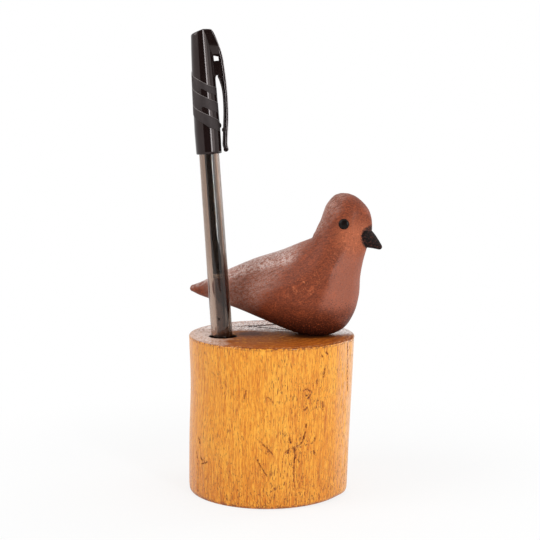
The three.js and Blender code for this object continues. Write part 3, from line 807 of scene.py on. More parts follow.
def stained_wood(settings, block):
    """Red-brown stain, rubbed thin on the flank and the cheek. The belly is painted dark for the shade under it,
    and the tail and back carry a painted pale sheen.
    """
    finish = Finish("stained_wood")
    seat = (settings.x / MM, settings.y / MM, block.height / MM)
    own = finish.turned(finish.vector("SUBTRACT", finish.place(), seat), -settings.turn)
    forward, side, up = finish.parts(own)
    along = finish.turned(own, math.radians(24), "Y_AXIS")
    blotch = finish.noise(along, (0.11, 0.16, 0.16), 4.0, 0.6)
    brushed = finish.noise(along, (0.3, 1.3, 1.3), 4.0, 0.7)
    fine = finish.noise(along, (0.9, 3.0, 3.0), 2.0, 0.6)
    grainy = finish.noise(own, (1.9, 1.9, 1.9), 2.0, 0.65)
    blister = finish.noise(own, (0.85, 0.85, 0.85), 2.0, 0.45)
    uneven = blotch * 10.0 - 5.0

    # The broad facet of the breast is smoother than the flank beside it, and painted lighter for the sheen of the
    # light from the right front
    breast = (forward - 5.5 - (up - 15.5) * 0.39 + uneven * 0.25).step(-1.6, 1.8) * up.step(8.5, 14.0)
    breast = breast * up.step(37.0, 30.0)

    # Rubbed patches on the flank, the cheek and the neck, crossed by scratches
    flank = blot(forward + (up - 21.0) * -0.5, up + uneven * 0.6, (-2.0, 21.0), 4.5, 5.0)
    cheek = blot(forward, up + uneven * 0.4, (16.5, 39.5), 6.0, 4.0)
    neck = blot(forward, up + uneven * 0.4, (10.0, 33.0), 3.5, 3.5)
    scratches = finish.noise(finish.turned(own, math.radians(-50), "Y_AXIS"), (0.5, 1.3, 1.3), 4.0, 0.7)
    rubbed = (flank * 0.9).larger(cheek).larger(neck * 0.5) * blister.step(0.48, 0.6)

    # The upper facet of the tail and back, and the nape, with a painted sheen: the white surroundings mirrored in
    # the varnish, mottled
    facet = (up - forward * 0.29 - 32.1 + uneven * 0.35).step(-1.6, 1.6)
    behind = forward.step(-3.0, -12.0) * facet
    sheen_mottle = brushed.step(0.66, 0.4) * (0.45 + 0.55 * grainy.step(0.36, 0.6)) * blister.step(0.3, 0.52)
    tail_sheen = (forward - (up - 35.4) * 0.79 - 0.7 + uneven * 0.9).step(1.0, -8.0)
    flecked = (0.25 + 0.75 * grainy.step(0.4, 0.58)) * (0.4 + 0.6 * brushed.step(0.6, 0.4))
    flecked = flecked * forward.step(-47.0, -40.0)
    nape_sheen = (forward - (up - 40.0) * 0.32 - 1.0).step(3.0, 0.0) * up.step(39.0, 44.0)

    # The belly, painted dark for the shade under it, and black paint smeared round the beak
    under = (up + uneven * 0.35).step(14.5, 2.5)
    smear = blot(side + grainy * 2.4 - 1.2, up + fine * 2.4 - 1.2, (0.0, 39.4), 4.7, 0.4) * forward.step(13.0,
                                                                                                         15.0)
    wood = finish.layers(
        settings.stain,
        (settings.stain_red, blotch.step(0.5, 0.72) * 0.4),
        (settings.stain_dark, brushed.step(0.48, 0.7) * 0.5),
        (settings.stain_red, fine.step(0.54, 0.66) * 0.4),
        (settings.stain_dark, fine.step(0.46, 0.34) * 0.45),
        (tint(172, 106, 86), breast * (0.42 + 0.25 * grainy.step(0.4, 0.6))),
        (tint(226, 130, 84), rubbed * scratches.step(0.52, 0.62) * 0.8),
        (settings.stain, cheek * scratches.step(0.48, 0.38) * 0.5),
        (tint(202, 114, 78), cheek * 0.5),
        (settings.sheen_grey, behind * sheen_mottle * 0.85),
        (settings.stain_dark, behind * grainy.step(0.4, 0.3) * 0.5),
        (tint(206, 164, 150), tail_sheen * flecked * (0.6 + 0.3 * facet)),
        (tint(232, 204, 196), behind * blister.step(0.42, 0.54) * grainy.step(0.44, 0.56) * 0.75),
        (tint(226, 190, 178), nape_sheen * grainy.step(0.46, 0.6) * 0.4),
        (settings.stain_dark, up.step(48.0, 55.0) * brushed.step(0.42, 0.6) * 0.35),
        (tint(36, 18, 15), smear * 0.95),
        (tint(58, 22, 12), under * (0.7 + 0.3 * grainy.step(0.35, 0.6))),
        # Dark grains, more of them where the belly and the low breast are painted into shade
        (settings.stain_dark, grainy.step(0.54, 0.62) * (0.4 + 0.45 * under.larger(breast * up.step(17.0, 11.0)))),
        (settings.stain_red, grainy.step(0.42, 0.34) * (0.35 + 0.25 * under)))
    relief = (brushed * 0.4 + fine * 0.25 + blister * (0.25 + 0.6 * behind)
              + grainy * (0.15 + 0.35 * behind.larger(under)))
    finish.surface(Base_Color=wood, Roughness=0.46 + 0.22 * brushed - 0.14 * behind, Specular_IOR_Level=0.18,
                   Coat_Weight=0.05 + 0.35 * behind + 0.05 * blotch, Coat_Roughness=0.22,
                   Normal=finish.bump(relief, 0.0003, 0.9))
    return finish.material


def black_paint(settings, name, roughness, wear, gloss):
    """Brushed black paint, worn down to brown wood by the share of wear."""
    finish = Finish(name)
    spot = finish.place()
    brushed = finish.noise(spot, (0.9, 0.9, 1.6), 3.0, 0.65)
    dusty = finish.noise(spot, (1.4, 1.4, 1.4), 3.0, 0.65)
    base = finish.mix(settings.black, tint(88, 48, 40), dusty.step(0.46, 0.7) * wear)
    finish.surface(Base_Color=base, Roughness=roughness + 0.2 * brushed, Specular_IOR_Level=gloss,
                   Normal=finish.bump(brushed * 0.6 + dusty * 0.5, 0.00022, 0.6 * wear + 0.1))
    return finish.material


def pale_dowel_wood():
    finish = Finish("pale_dowel_wood")
    grain = finish.noise(finish.place(), (3.0, 3.0, 0.2), 4.0)
    wood = finish.mix(tint(216, 180, 131), tint(170, 126, 80), grain.step(0.45, 0.7))
    finish.surface(Base_Color=wood, Roughness=0.7, Normal=finish.bump(grain, 0.0001))
    return finish.material


class HOLDER_OT_dove(Operator):
    """Build the carved dove, its dowel, beak and eyes"""
    bl_idname = "pen_holder.dove"
    bl_label = "Dove"

    def execute(self, context):
        settings = context.scene.pen_holder_dove
        block = context.scene.pen_holder_block
        matrix = dove_matrix(settings, block)
        rings = dove_points(DOVE_RINGS, DOVE_SIDES)
        body = carve(rings.reshape(-1, 3), KNIFE_FACETS)
        body[:, 2] = np.maximum(body[:, 2], settings.seat_gap / MM)
        tip, crown = (DOVE_TAIL_TIP[0], 0, DOVE_TAIL_TIP[1]), (DOVE_CROWN[0], 0, DOVE_CROWN[1])
        dove = make_piece("dove_body", *placed_skin(body.reshape(rings.shape), matrix, tip, crown),
                          stained_wood(settings, block), "holder", "stained_wood", ("bird_body",))
        self.add_beak(settings, matrix)
        self.add_eyes(settings, matrix, dove)
        refinish("bird_dowel", pale_dowel_wood())
        return {"FINISHED"}

    def add_beak(self, settings, matrix):
        """Rings along a bent axis, with worn edges cut by the knife, and the peg behind them."""
        base, bend, tip = (np.array(spot) for spot in (BEAK_BASE, BEAK_BEND, BEAK_TIP))
        angles = circle(BEAK_SIDES)
        facet = 1 - 0.05 * np.abs(np.sin(2.5 * angles + 0.4)) ** 3

        def ring(share, past, radius):
            centre = base * (1 - share) ** 2 + bend * 2 * share * (1 - share) + tip * share ** 2
            run = (bend - base) * (1 - share) + (tip - bend) * share
            run = run / np.hypot(*run)
            centre = centre + run * past
            reach = radius * facet
            return np.column_stack([centre[0] - run[1] * reach * np.cos(angles), -reach * np.sin(angles),
                                    centre[1] + run[0] * reach * np.cos(angles)])

        rings = [ring(0, past, radius) for past, radius in BEAK_PEG]
        rings += [ring(share, 0, BEAK_RADIUS * swell) for share, swell in BEAK_SWELL]
        make_piece("dove_beak", *placed_skin(rings, matrix, MIDDLE, ring(1, 0, 0)[0]),
                   black_paint(settings, "black_beak", 0.5, 0.6, 0.1), "holder", "black_wood", ("bird_beak",))

    def add_eyes(self, settings, matrix, dove):
        """Domed pegs, set where a line across the head meets each cheek."""
        paint = black_paint(settings, "black_eye", 0.14, 0.1, 0.12)
        radius = settings.eye_radius / MM
        profile = [(radius * 0.5, -EYE_PEG), (radius, -0.8)]
        profile += [(radius * math.sin(s), EYE_DOME * math.cos(s)) for s in np.linspace(0.06, math.pi / 2,
                                                                                        10)[::-1]]
        for flank, name, node in ((-1, "eye_right", "bird_eye_right"), (1, "eye_left", "bird_eye_left")):
            direction = (matrix.to_3x3() @ Vector((0, -flank, 0))).normalized()
            start = matrix @ (Vector((EYE_SPOT[0], 20 * flank, EYE_SPOT[1])) * MM)
            hit, spot, normal, _ = dove.ray_cast(start, direction)
            if not hit:
                raise RuntimeError("the dove's head has no surface at the eye")
            place = Matrix.Translation(spot) @ normal.to_track_quat("Z", "Y").to_matrix().to_4x4()
            eye = placed_skin(turned_rings(profile, EYE_SIDES), place, (0, 0, -EYE_PEG), (0, 0, EYE_DOME))
            make_piece(name, *eye, paint, "holder", "black_bead", (node,))


# Pen: heights in mm from its tail, cap heights in mm from the cap's mouth

# Where the pen's leaning axis stands: how far left of the middle, at which height, and its lean
AXIS_LEFT = 16.0
AXIS_HEIGHT = 30.6
AXIS_LEAN = 0.0656
PLUG_SEAM = 0.1
BARREL_STRAIGHT = 40
BARREL_IN_CAP = 10
SPIGOT_RADIUS = 2.68
SPIGOT_LENGTH = 5
# The refill is wider below the cap than in the nose
REFILL_START = 22
REFILL_RADIUS, REFILL_BORE = 1.85, 1.45
NECK_RADIUS, NECK_BORE = 1.5, 1.12
NECK_END = 15
INK_START = 56.4
INK_RADIUS, INK_NECK = 1.72, 1.4
FOLLOWER_RADIUS = 1.68
# The breather hole on the barrel: degrees round from the front, height, half width and its share in height
BREATHER = (-7, 39.3, 0.5, 0.62)
NOSE_END = 27.1
POINT_END = 32.1
CAP_PROFILE = [(4.95, 0), (5.05, 9), (4.8, 20), (4.55, 29), (4.08, 40), (3.65, 47.6)]
CAP_SIDES = 160
CAP_BORE_END = 43.5
CAP_EDGE = 0.45
CAP_TOP_LOW = 45.9
CAP_TOP_HIGH = 47.55
CAP_TOP_SLANT = math.radians(18)
CLIP_WIDTH = 4.2
CLIP_OUTER = [(1.0, 47.4), (2.7, 47.5), (4.45, 47.1), (6.45, 42.4), (7.8, 37.0), (8.35, 31.0), (8.6, 26.0),
              (8.7, 20.3), (8.35, 12.4), (7.5, 5.0), (7.4, 3.2), (7.6, 1.9)]
CLIP_INNER = [(5.3, 29.4), (5.75, 28.4), (6.15, 27.0), (6.6, 24.9), (6.85, 21.5), (6.72, 16.0), (6.2, 10.2),
              (5.65, 5.0), (5.5, 3.2), (5.75, 1.9)]
# Two points where the clip's root meets its free arm, and how deep the clip's flange and rib are
CLIP_BEND = [(8.4, 0, 30.4), (8.4, 0, 26.6)]
FLANGE = 0.75
RIB = 0.55
CLIP_FOOT = (6.7, 1.4)
CLIP_FOOT_RADIUS = 0.95
CLIP_BEAD = (6.6, 8.9)
CLIP_BEAD_RADIUS = 1.05
CAP_BEAD = (4.15, 10.7)
CAP_BEAD_RADIUS = 1.4
CLIP_ROOT = [(2.0, 46.8), (4.1, 46.3), (6.0, 41.8), (7.3, 36.5), (7.75, 31.0), (7.45, 28.2), (6.3, 28.4),
             (5.7, 29.3), (5.3, 29.85), (4.85, 29.7), (4.6, 28.9), (4.45, 27.8), (2.2, 27.4)]
CLIP_WINDOW = [(4.45, 35.3), (6.25, 35.35), (6.2, 36.85), (4.35, 37.35)]
# The root widens upwards: height and half width of its sections
CLIP_WEDGE = [(37.9, 1.3), (38.2, 1.4), (39.9, 2.4), (40.3, 2.5), (42.4, 2.8), (44.9, 3.15), (46.3, 3.35),
              (47.0, 3.4), (47.3, 3.2)]
# The black plastic mirrors its surroundings a little warmer than they are
WARM_SHEEN = (1.0, 0.87, 0.85)
BAND_SPAN = (-165, 77)
BAND_STEPS = 240
BAND_SECTION_POINTS = 9
# Each grip band's upper and lower edge: degrees from the front, + to the right, and height over the mouth
BANDS = [
    ("grip_band_upper", "cap_grip_band_upper",
     [(-165, 35.4), (-64, 30.5), (25, 26.1), (77, 25.2)],
     [(-165, 30.35), (-67, 25.5), (-36, 24.0), (-24, 24.1), (-12, 25.1), (29, 23.0), (77, 22.0)]),
    ("grip_band_middle", "cap_grip_band_middle",
     [(-165, 30.2), (-67, 25.3), (-14, 22.6), (29, 20.7), (77, 19.4)],
     [(-165, 23.65), (-67, 18.9), (-34, 17.2), (-22, 17.3), (-10, 18.2), (25, 16.6), (77, 15.2)]),
    ("grip_band_lower", "cap_grip_band_lower",
     [(-165, 23.5), (-69, 18.8), (-12, 16.0), (27, 14.3), (77, 12.3)],
     [(-165, 19.4), (-65, 14.5), (-15, 12.0), (13, 10.0), (77, 8.0)]),
]


def pen_matrix(scene):
    pen = scene.pen_holder_pen
    block = scene.pen_holder_block
    tail = block.hole_radius - pen.tail_gap - pen.plug_radius
    rim = block.hole_radius - pen.rim_gap - pen.tail_radius
    lean = math.atan((tail + rim) / block.hole_depth)
    foot = block.height - block.hole_depth + pen.seat_gap + pen.plug_radius * math.sin(lean)
    return Matrix.Translation((block.hole_x + tail, block.hole_y, foot)) @ Matrix.Rotation(-lean, 4, "Y")


def cap_matrix(scene):
    return pen_matrix(scene) @ Matrix.Translation((0, 0, scene.pen_holder_pen.cap_mouth))


def cap_radius(height):
    return np.interp(height, [h for _, h in CAP_PROFILE], [r for r, _ in CAP_PROFILE])


# A profile point closer to the axis than this, in mm, lies on it
ON_AXIS = 1e-6


def turned_piece(name, profile, material, slot, matrix, replaces=(), sides=96, loop=False, sharp=None):
    """A piece of the pen, turned about its axis. A profile that starts or ends on the axis is closed there."""
    start, end = ((0, 0, up) if radius <= ON_AXIS else None for radius, up in (profile[0], profile[-1]))
    rings = turned_rings([spot for spot in profile if spot[0] > ON_AXIS], sides)
    return make_piece(name, *placed_skin(rings, matrix, start, end, loop), material, "pen", slot, replaces, sharp)


def smoky_plastic(name, base):
    """Clear smoky plastic. Its right side is painted darker, for the dark dove seen through it, and its left is
    painted lighter low down, for light coming through it.
    """
    finish = Finish(name)
    spot = finish.place()
    x, _, z = finish.parts(spot)
    across = x + AXIS_LEFT + (z - AXIS_HEIGHT) * AXIS_LEAN
    scuff = finish.noise(spot, (1.6, 1.6, 0.12), 4.0, 0.6)
    grazing = finish.add("ShaderNodeLayerWeight", {}, {"Blend": 0.35}, output="Facing")
    shade = finish.layers(
        base,
        (toned(base, 0.86), scuff.step(0.42, 0.7) * 0.8),
        # Painted shade: the dark dove seen through the barrel's right side
        (toned(base, 0.45), across.step(0.8, 2.6) * (0.3 + 0.6 * z.step(122.0, 104.0))),
        # Painted light: low at the left, light coming through the barrel
        (toned(base, 1.5), across.step(-0.8, -2.4) * z.step(100.0, 84.0) * 0.7),
        (toned(base, 0.86), z.step(100.0, 132.0) * 0.5),
        (toned(base, 0.4), grazing.step(0.55, 0.95) * 0.6))
    finish.surface(Base_Color=shade, Roughness=0.015 + 0.05 * scuff.step(0.55, 0.8), Transmission_Weight=1.0,
                   IOR=1.46, Normal=finish.bump(scuff, 0.000004, 0.3))
    return finish.material


def clear_tube():
    """Clear plastic, greyer where the ink is used up than round the ink that is left."""
    finish = Finish("clear_tube")
    spot = finish.place()
    haze = finish.noise(spot, (2.0, 2.0, 0.2), 3.0)
    _, _, up = finish.parts(spot)
    wet = finish.mix(tint(182, 170, 166), tint(236, 232, 226), up.step(85.6, 87.0))
    finish.surface(Base_Color=wet, Roughness=0.03 + 0.05 * haze, Transmission_Weight=1.0, IOR=1.4,
                   Normal=finish.bump(haze, 0.000005, 0.3))
    return finish.material


def moulded(name, base, roughness, depth, grain=6.0, **more):
    """A moulded plastic with fine flow marks."""
    finish = Finish(name)
    spot = finish.place()
    flow = finish.noise(spot, (grain, grain, grain), 3.0, 0.6)
    broad = finish.noise(spot, (0.4, 0.4, 0.15), 3.0)
    light = tuple(min(1.0, level * 1.5 + 0.004) for level in base)
    shade = finish.mix(base, light, broad.step(0.4, 0.75) * 0.6)
    finish.surface(Base_Color=shade, Roughness=roughness + 0.1 * flow, Normal=finish.bump(flow, depth, 0.5),
                   **more)
    return finish.material


def polished_metal(name, base, roughness):
    finish = Finish(name)
    scratch = finish.noise(finish.place(), (8.0, 8.0, 0.6), 3.0)
    finish.surface(Base_Color=base, Metallic=1.0, Roughness=roughness + 0.15 * scratch,
                   Normal=finish.bump(scratch, 0.00001, 0.4))
    return finish.material


class HOLDER_OT_barrel(Operator):
    """Build the pen's barrel, tail plug, refill, ink, nose and point"""
    bl_idname = "pen_holder.barrel"
    bl_label = "Barrel and refill"

    def execute(self, context):
        settings = context.scene.pen_holder_pen
        matrix = pen_matrix(context.scene)
        tail, mouth, cap = settings.tail_radius / MM, settings.mouth_radius / MM, settings.cap_mouth / MM
        bore = (settings.mouth_radius - settings.wall) / MM
        stop = settings.plug_length / MM
        self.add_barrel(settings, matrix, bore, stop + PLUG_SEAM, tail, mouth, cap)
        self.add_breather(matrix, tail)

        plug = moulded("smoky_plug", tint(70, 60, 55), 0.25, 0.00002)
        radius = settings.plug_radius / MM
        profile = [(0, 0), (radius - 0.8, 0), (radius, 0.8), (radius, stop), (SPIGOT_RADIUS, stop),
                   (SPIGOT_RADIUS, stop + SPIGOT_LENGTH), (0, stop + SPIGOT_LENGTH)]
        turned_piece("tail_plug", rounded(profile, 0.25), plug, "smoky_plug", matrix, ("pen_tail_plug",), sharp=50)
        neck, top = cap + 1, cap + NECK_END
        profile = [(REFILL_BORE, REFILL_START), (REFILL_RADIUS, REFILL_START), (REFILL_RADIUS, cap),
                   (NECK_RADIUS, neck), (NECK_RADIUS, top), (NECK_BORE, top), (NECK_BORE, neck),
                   (REFILL_BORE, cap)]
        turned_piece("refill", rounded(profile, 0.1) + [(REFILL_BORE, 70)], clear_tube(), "clear_tube", matrix,
                     ("refill_tube",), sides=64, loop=True, sharp=40)
        ink = moulded("wet_ink", settings.ink, 0.3, 0.00001, Specular_IOR_Level=0.05)
        profile = [(0, INK_START), (INK_NECK, 56.7), (INK_RADIUS, 57.2), (INK_RADIUS, cap), (INK_NECK, neck),
                   (INK_NECK, top - 3), (0, top - 3)]
        turned_piece("ink", rounded(profile, 0.2), ink, "dark_ink", matrix, ("ink_column",), sides=64)
        follower = moulded("follower_grease", tint(246, 240, 230), 0.3, 0.00001)
        profile = [(0, 54.8), (1.5, 55.0), (FOLLOWER_RADIUS, 55.9), (1.5, 56.6), (0, 56.3)]
        turned_piece("follower", rounded(profile, 0.2), follower, "dark_ink", matrix, sides=64)

        profile = [(1.62, cap + 2), (2.66, cap + 2), (2.66, cap + 10.1), (3.88, cap + 10.1),
                   (1.75, cap + NOSE_END), (1.22, cap + NOSE_END)]
        turned_piece("nose_cone", rounded(profile, 0.2) + [(1.22, cap + 18), (1.62, cap + 15)], plug, "smoky_plug",
                     matrix, ("pen_nose_cone",), loop=True, sharp=40)
        profile = [(0, cap + 9.5), (1.0, cap + 9.5), (1.0, cap + 15.6), (1.1, cap + 15.6), (1.1, cap + 28.5),
                   (0.62, cap + POINT_END), (0.45, cap + POINT_END), (0, cap + 31.6)]
        turned_piece("point", rounded(profile, 0.1), polished_metal("nickel_point", tint(186, 178, 164), 0.2),
                     "nickel_point", matrix, ("writing_point",), sides=64, sharp=40)
        refinish("writing_ball", polished_metal("ball_steel", tint(200, 200, 200), 0.12))
        return {"FINISHED"}

    def add_barrel(self, settings, matrix, bore, low, tail, mouth, cap):
        """The smoky tube. Its bore is clear, so that the tint is seen once on each side."""
        high = cap + BARREL_IN_CAP
        profile = [(bore, low), (tail, low), (tail, 24), (tail, BARREL_STRAIGHT), (mouth, cap), (mouth, high),
                   (bore, high)]
        barrel = turned_piece("barrel", rounded(profile, 0.3) + [(bore, 60)],
                              smoky_plastic("smoky_plastic", settings.smoke), "smoky_plastic", matrix,
                              ("pen_barrel",), loop=True, sharp=40)
        barrel.data.materials.append(smoky_plastic("clear_bore", tint(244, 240, 236)))
        own = matrix.inverted()
        for face in barrel.data.polygons:
            face.material_index = 1 if (own @ face.center).xy.length < (bore + 0.3) * MM else 0

    def add_breather(self, matrix, radius):
        """The breather hole low on the barrel's front, as a thin inlay wider than it is tall, painted dark for the
        shade inside the hole.
        """
        finish = Finish("breather_shadow")
        finish.surface(Base_Color=tint(16, 9, 7), Roughness=0.9, Specular_IOR_Level=0.0)
        degrees, up, half, flatness = BREATHER
        around = math.radians(degrees)
        outward = Vector((math.sin(around), -math.cos(around), 0))
        turn = outward.to_track_quat("Z", "Y").to_matrix().to_4x4()
        place = matrix @ Matrix.Translation((outward * radius + Vector((0, 0, up))) * MM) @ turn
        rings = np.array(turned_rings([(half, -0.2), (half, 0.02), (half - 0.1, 0.05)], 24)) * (1, flatness, 1)
        make_piece("breather", *placed_skin(rings, place, MIDDLE, MIDDLE), finish.material, "pen", "smoky_plug")


def flat_plate(name, outline, width, rounding, matrix, holes=()):
    """Points and faces of a rounded plate in the clip's plane, from a filled 2D curve."""
    curve = bpy.data.curves.new(name, "CURVE")
    curve.dimensions = "2D"
    curve.fill_mode = "BOTH"
    curve.extrude = width / 2 - rounding
    curve.bevel_depth = rounding
    curve.bevel_resolution = 3
    curve.offset = -rounding
    for path in (outline, *holes):
        spline = curve.splines.new("POLY")
        spline.points.add(len(path) - 1)
        for point, (out, up) in zip(spline.points, path):
            point.co = (out, up, 0, 1)
        spline.use_cyclic_u = True
    holder = bpy.data.objects.new(name, curve)
    bpy.context.scene.collection.objects.link(holder)
    bpy.context.view_layer.update()
    mesh = bpy.data.meshes.new_from_object(holder.evaluated_get(bpy.context.evaluated_depsgraph_get()))
    local = np.array([(v.co.x, v.co.z, v.co.y) for v in mesh.vertices])
    faces = [tuple(reversed(p.vertices)) for p in mesh.polygons]
    bpy.data.objects.remove(holder)
    bpy.data.curves.remove(curve)
    bpy.data.meshes.remove(mesh)
    return placed(local, matrix), faces


def highlight_edges(piece, edge):
    """Give a plate's bevels, which face neither across nor out, a pale material of their own, a painted highlight.
    """
    piece.data.materials.append(edge)
    for face in piece.data.polygons:
        if 0.15 < abs(face.normal.y) < 0.95:
            face.material_index = 1


def bead(spot, radius, matrix):
    """Points and faces of a small moulded bead at a spot in the clip's plane."""
    rings = turned_rings([(radius * math.sin(a), -radius * math.cos(a))
                          for a in np.linspace(0.05, math.pi - 0.05, 16)], 32)
    out, up = spot
    return placed_skin(np.array(rings) + (out, 0, up), matrix, (out, 0, up - radius), (out, 0, up + radius))


def smooth_outline(points, samples):
    return [tuple(p) for p in smooth_curve(points, samples)]


class HOLDER_OT_cap(Operator):
    """Build the cap with its clip root, window and bead"""
    bl_idname = "pen_holder.cap"
    bl_label = "Cap"

    def execute(self, context):
        matrix = cap_matrix(context.scene)
        gloss = moulded("gloss_black_plastic", context.scene.pen_holder_pen.gloss_black, 0.05, 0.000001, 1.0,
                        Specular_IOR_Level=0.42, Specular_Tint=WARM_SHEEN)
        self.add_shell(gloss, matrix)
        self.add_root(gloss, matrix)
        return {"FINISHED"}

    def add_shell(self, gloss, matrix):
        """From the end of the bore down to the mouth, up the outside and over the slanted top."""
        angles = circle(CAP_SIDES)
        rings = turned_rings([(2.66, CAP_BORE_END), (3.4, 30), (4.2, 12), (4.2, 6), (4.2, 0.35), (4.35, 0.08),
                              (4.55, 0), (4.75, 0.08)], CAP_SIDES)
        low_radius = cap_radius(CAP_TOP_LOW) - 0.05

        def roof(x):
            slope = CAP_TOP_LOW + math.tan(CAP_TOP_SLANT) * (x + low_radius)
            return np.minimum(slope, CAP_TOP_HIGH - 0.1 + 0.02 * x)

        def add_ring(radius, drop):
            x, y = radius * np.cos(angles), radius * np.sin(angles)
            rings.append(np.stack([x, y, roof(x) - drop], axis=1))

        rim = roof(low_radius * np.cos(angles)) - CAP_EDGE
        for share in np.linspace(0, 1, 70):
            height = 0.3 + (rim - 0.3) * share
            radius = cap_radius(height)
            rings.append(np.stack([radius * np.cos(angles), radius * np.sin(angles), height], axis=1))
        for share in np.linspace(0, 1, 7)[1:]:
            swing = share * math.pi / 2
            add_ring(low_radius - CAP_EDGE * (1 - math.cos(swing)), CAP_EDGE * (1 - math.sin(swing)))
        for share in (0.75, 0.5, 0.25, 0.08):
            add_ring((low_radius - CAP_EDGE) * share, 0)
        shell = placed_skin(rings, matrix, (0, 0, CAP_BORE_END), (0, 0, float(roof(0.0))))
        make_piece("cap", *shell, gloss, "cap", "black_gloss", ("cap_shell",), 60)

    def add_root(self, gloss, matrix):
        """The clip's root with its window, the bead under it and the wedge that joins it to the cap's top."""
        root = flat_plate("clip_root", CLIP_ROOT, 2.6, 0.18, matrix, (CLIP_WINDOW,))
        make_piece("clip_root", *root, gloss, "cap", "black_gloss", sharp=35)
        make_piece("cap_bead", *bead(CAP_BEAD, CAP_BEAD_RADIUS, matrix), gloss, "cap", "black_gloss")
        heights = [up for _, up in CLIP_OUTER[5:1:-1]] + [47.4]
        outs = [out for out, _ in CLIP_OUTER[5:1:-1]] + [3.4]
        corner = 0.3
        turn = np.linspace(0, math.pi / 2, 5)
        rings = []
        for up, half in CLIP_WEDGE:
            out = float(np.interp(up, heights, outs)) - 0.1
            right = [(out - corner + corner * math.sin(a), -half + corner - corner * math.cos(a)) for a in turn]
            left = [(x, -y) for x, y in right[::-1]]
            rings.append([(x, y, up) for x, y in [(0.5, -half), *right, *left, (0.5, half)]])
        make_piece("clip_wedge", *placed_skin(rings, matrix, MIDDLE, MIDDLE), gloss, "cap", "black_gloss",
                   sharp=35)


class HOLDER_OT_clip(Operator):
    """Build the clip's two flanges and web, which run from the cap's root to the free arm"""
    bl_idname = "pen_holder.clip"
    bl_label = "Clip"

    def execute(self, context):
        matrix = cap_matrix(context.scene)
        gloss = moulded("gloss_black_clip", context.scene.pen_holder_pen.gloss_black, 0.16, 0.000001, 1.0,
                        Specular_IOR_Level=0.42, Specular_Tint=WARM_SHEEN)
        # A pale grey painted highlight for the spine's bevelled edges
        edge = moulded("bright_clip_edge", tint(208, 198, 198), 0.3, 0.000001)
        outer = smooth_outline(CLIP_OUTER, 60)
        inner = smooth_outline(CLIP_INNER, 40)
        under = [(out - FLANGE, up) for out, up in outer if up < 46.4]
        over = [(out + RIB, up) for out, up in inner]
        web = [(out + 0.25, up) for out, up in inner] + [(out - 0.35, up) for out, up in outer[::-1] if up < 31.5]
        foot = [(CLIP_FOOT[0] + CLIP_FOOT_RADIUS * math.cos(a), CLIP_FOOT[1] + CLIP_FOOT_RADIUS * math.sin(a))
                for a in circle(24)]
        start, end = placed(CLIP_BEND, matrix)
        for name, outline, width, replaces in (
                ("clip_spine", outer + under[::-1], CLIP_WIDTH, ("pen_clip",)),
                ("clip_rib", inner + over[::-1], CLIP_WIDTH - 0.3, ()),
                ("clip_web", web, 2.2, ()),
                ("clip_foot", foot, CLIP_WIDTH - 0.1, ())):
            plate = flat_plate(name, outline, width, 0.16, matrix)
            piece = make_piece(name, *plate, gloss, None, "black_gloss", replaces, 35)
            if name == "clip_spine":
                highlight_edges(piece, edge)
            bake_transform(piece)
        make_piece("clip_bead", *bead(CLIP_BEAD, CLIP_BEAD_RADIUS, matrix), gloss, "clip", "black_gloss")
        return {"FINISHED"}


class HOLDER_OT_grip_bands(Operator):
    """Build the three matte bands that wind down the cap"""
    bl_idname = "pen_holder.grip_bands"
    bl_label = "Grip bands"

    def execute(self, context):
        matrix = cap_matrix(context.scene)
        rubber = moulded("matte_black_rubber", context.scene.pen_holder_pen.matte_black, 0.55, 0.00003, 9.0,
                         Specular_IOR_Level=0.35, Specular_Tint=WARM_SHEEN)
        edge = moulded("band_edge", tint(118, 110, 108), 0.4, 0.000001)
        for name, node, upper, lower in BANDS:
            band = self.add_band(name, node, upper, lower, rubber, matrix)
            band.data.materials.append(edge)
            # The bevel under the upper edge is painted lighter, a highlight of the light from above. The last
            # faces close the two ends.
            for face in band.data.polygons[:-2 * BAND_SECTION_POINTS]:
                face.material_index = 1 if face.index % BAND_SECTION_POINTS in (1, 2) else 0
        return {"FINISHED"}

    def add_band(self, name, node, upper, lower, rubber, matrix):
        """Sections wound round the cap, which taper in at both ends."""
        degrees = np.linspace(BAND_SPAN[1], BAND_SPAN[0], BAND_STEPS)
        smooth = np.ones(9) / 9
        edges = []
        for edge in (upper, lower):
            heights = np.interp(degrees, [d for d, _ in edge], [h for _, h in edge])
            edges.append(np.convolve(np.pad(heights, 4, mode="edge"), smooth, mode="valid"))
        rings = []
        for step, (turn, high, low) in enumerate(zip(degrees, *edges)):
            angle = math.radians(turn - 90)
            end = min(step, BAND_STEPS - 1 - step) / 4
            ring = []
            for out, down in self.band_section((high - low) * min(1.0, 0.15 + end)):
                reach = cap_radius(high - down) + out
                ring.append((reach * math.cos(angle), reach * math.sin(angle), high - down))
            rings.append(ring)
        return make_piece(name, *placed_skin(rings, matrix, MIDDLE, MIDDLE), rubber, "cap", "black_matte", (node,),
                          50)

    def band_section(self, width):
        """Out from the cap and down from the upper edge, going round the band's section."""
        proud = soft = 0.16
        return [(-0.2, 0), (proud - soft, 0), (proud - 0.3 * soft, 0.3 * soft), (proud, soft), (proud, width / 2),
                (proud, width - soft), (proud - 0.3 * soft, width - 0.3 * soft), (proud - soft, width),
                (-0.2, width)]


# Stage

WHITE = (1.0, 1.0, 1.0)
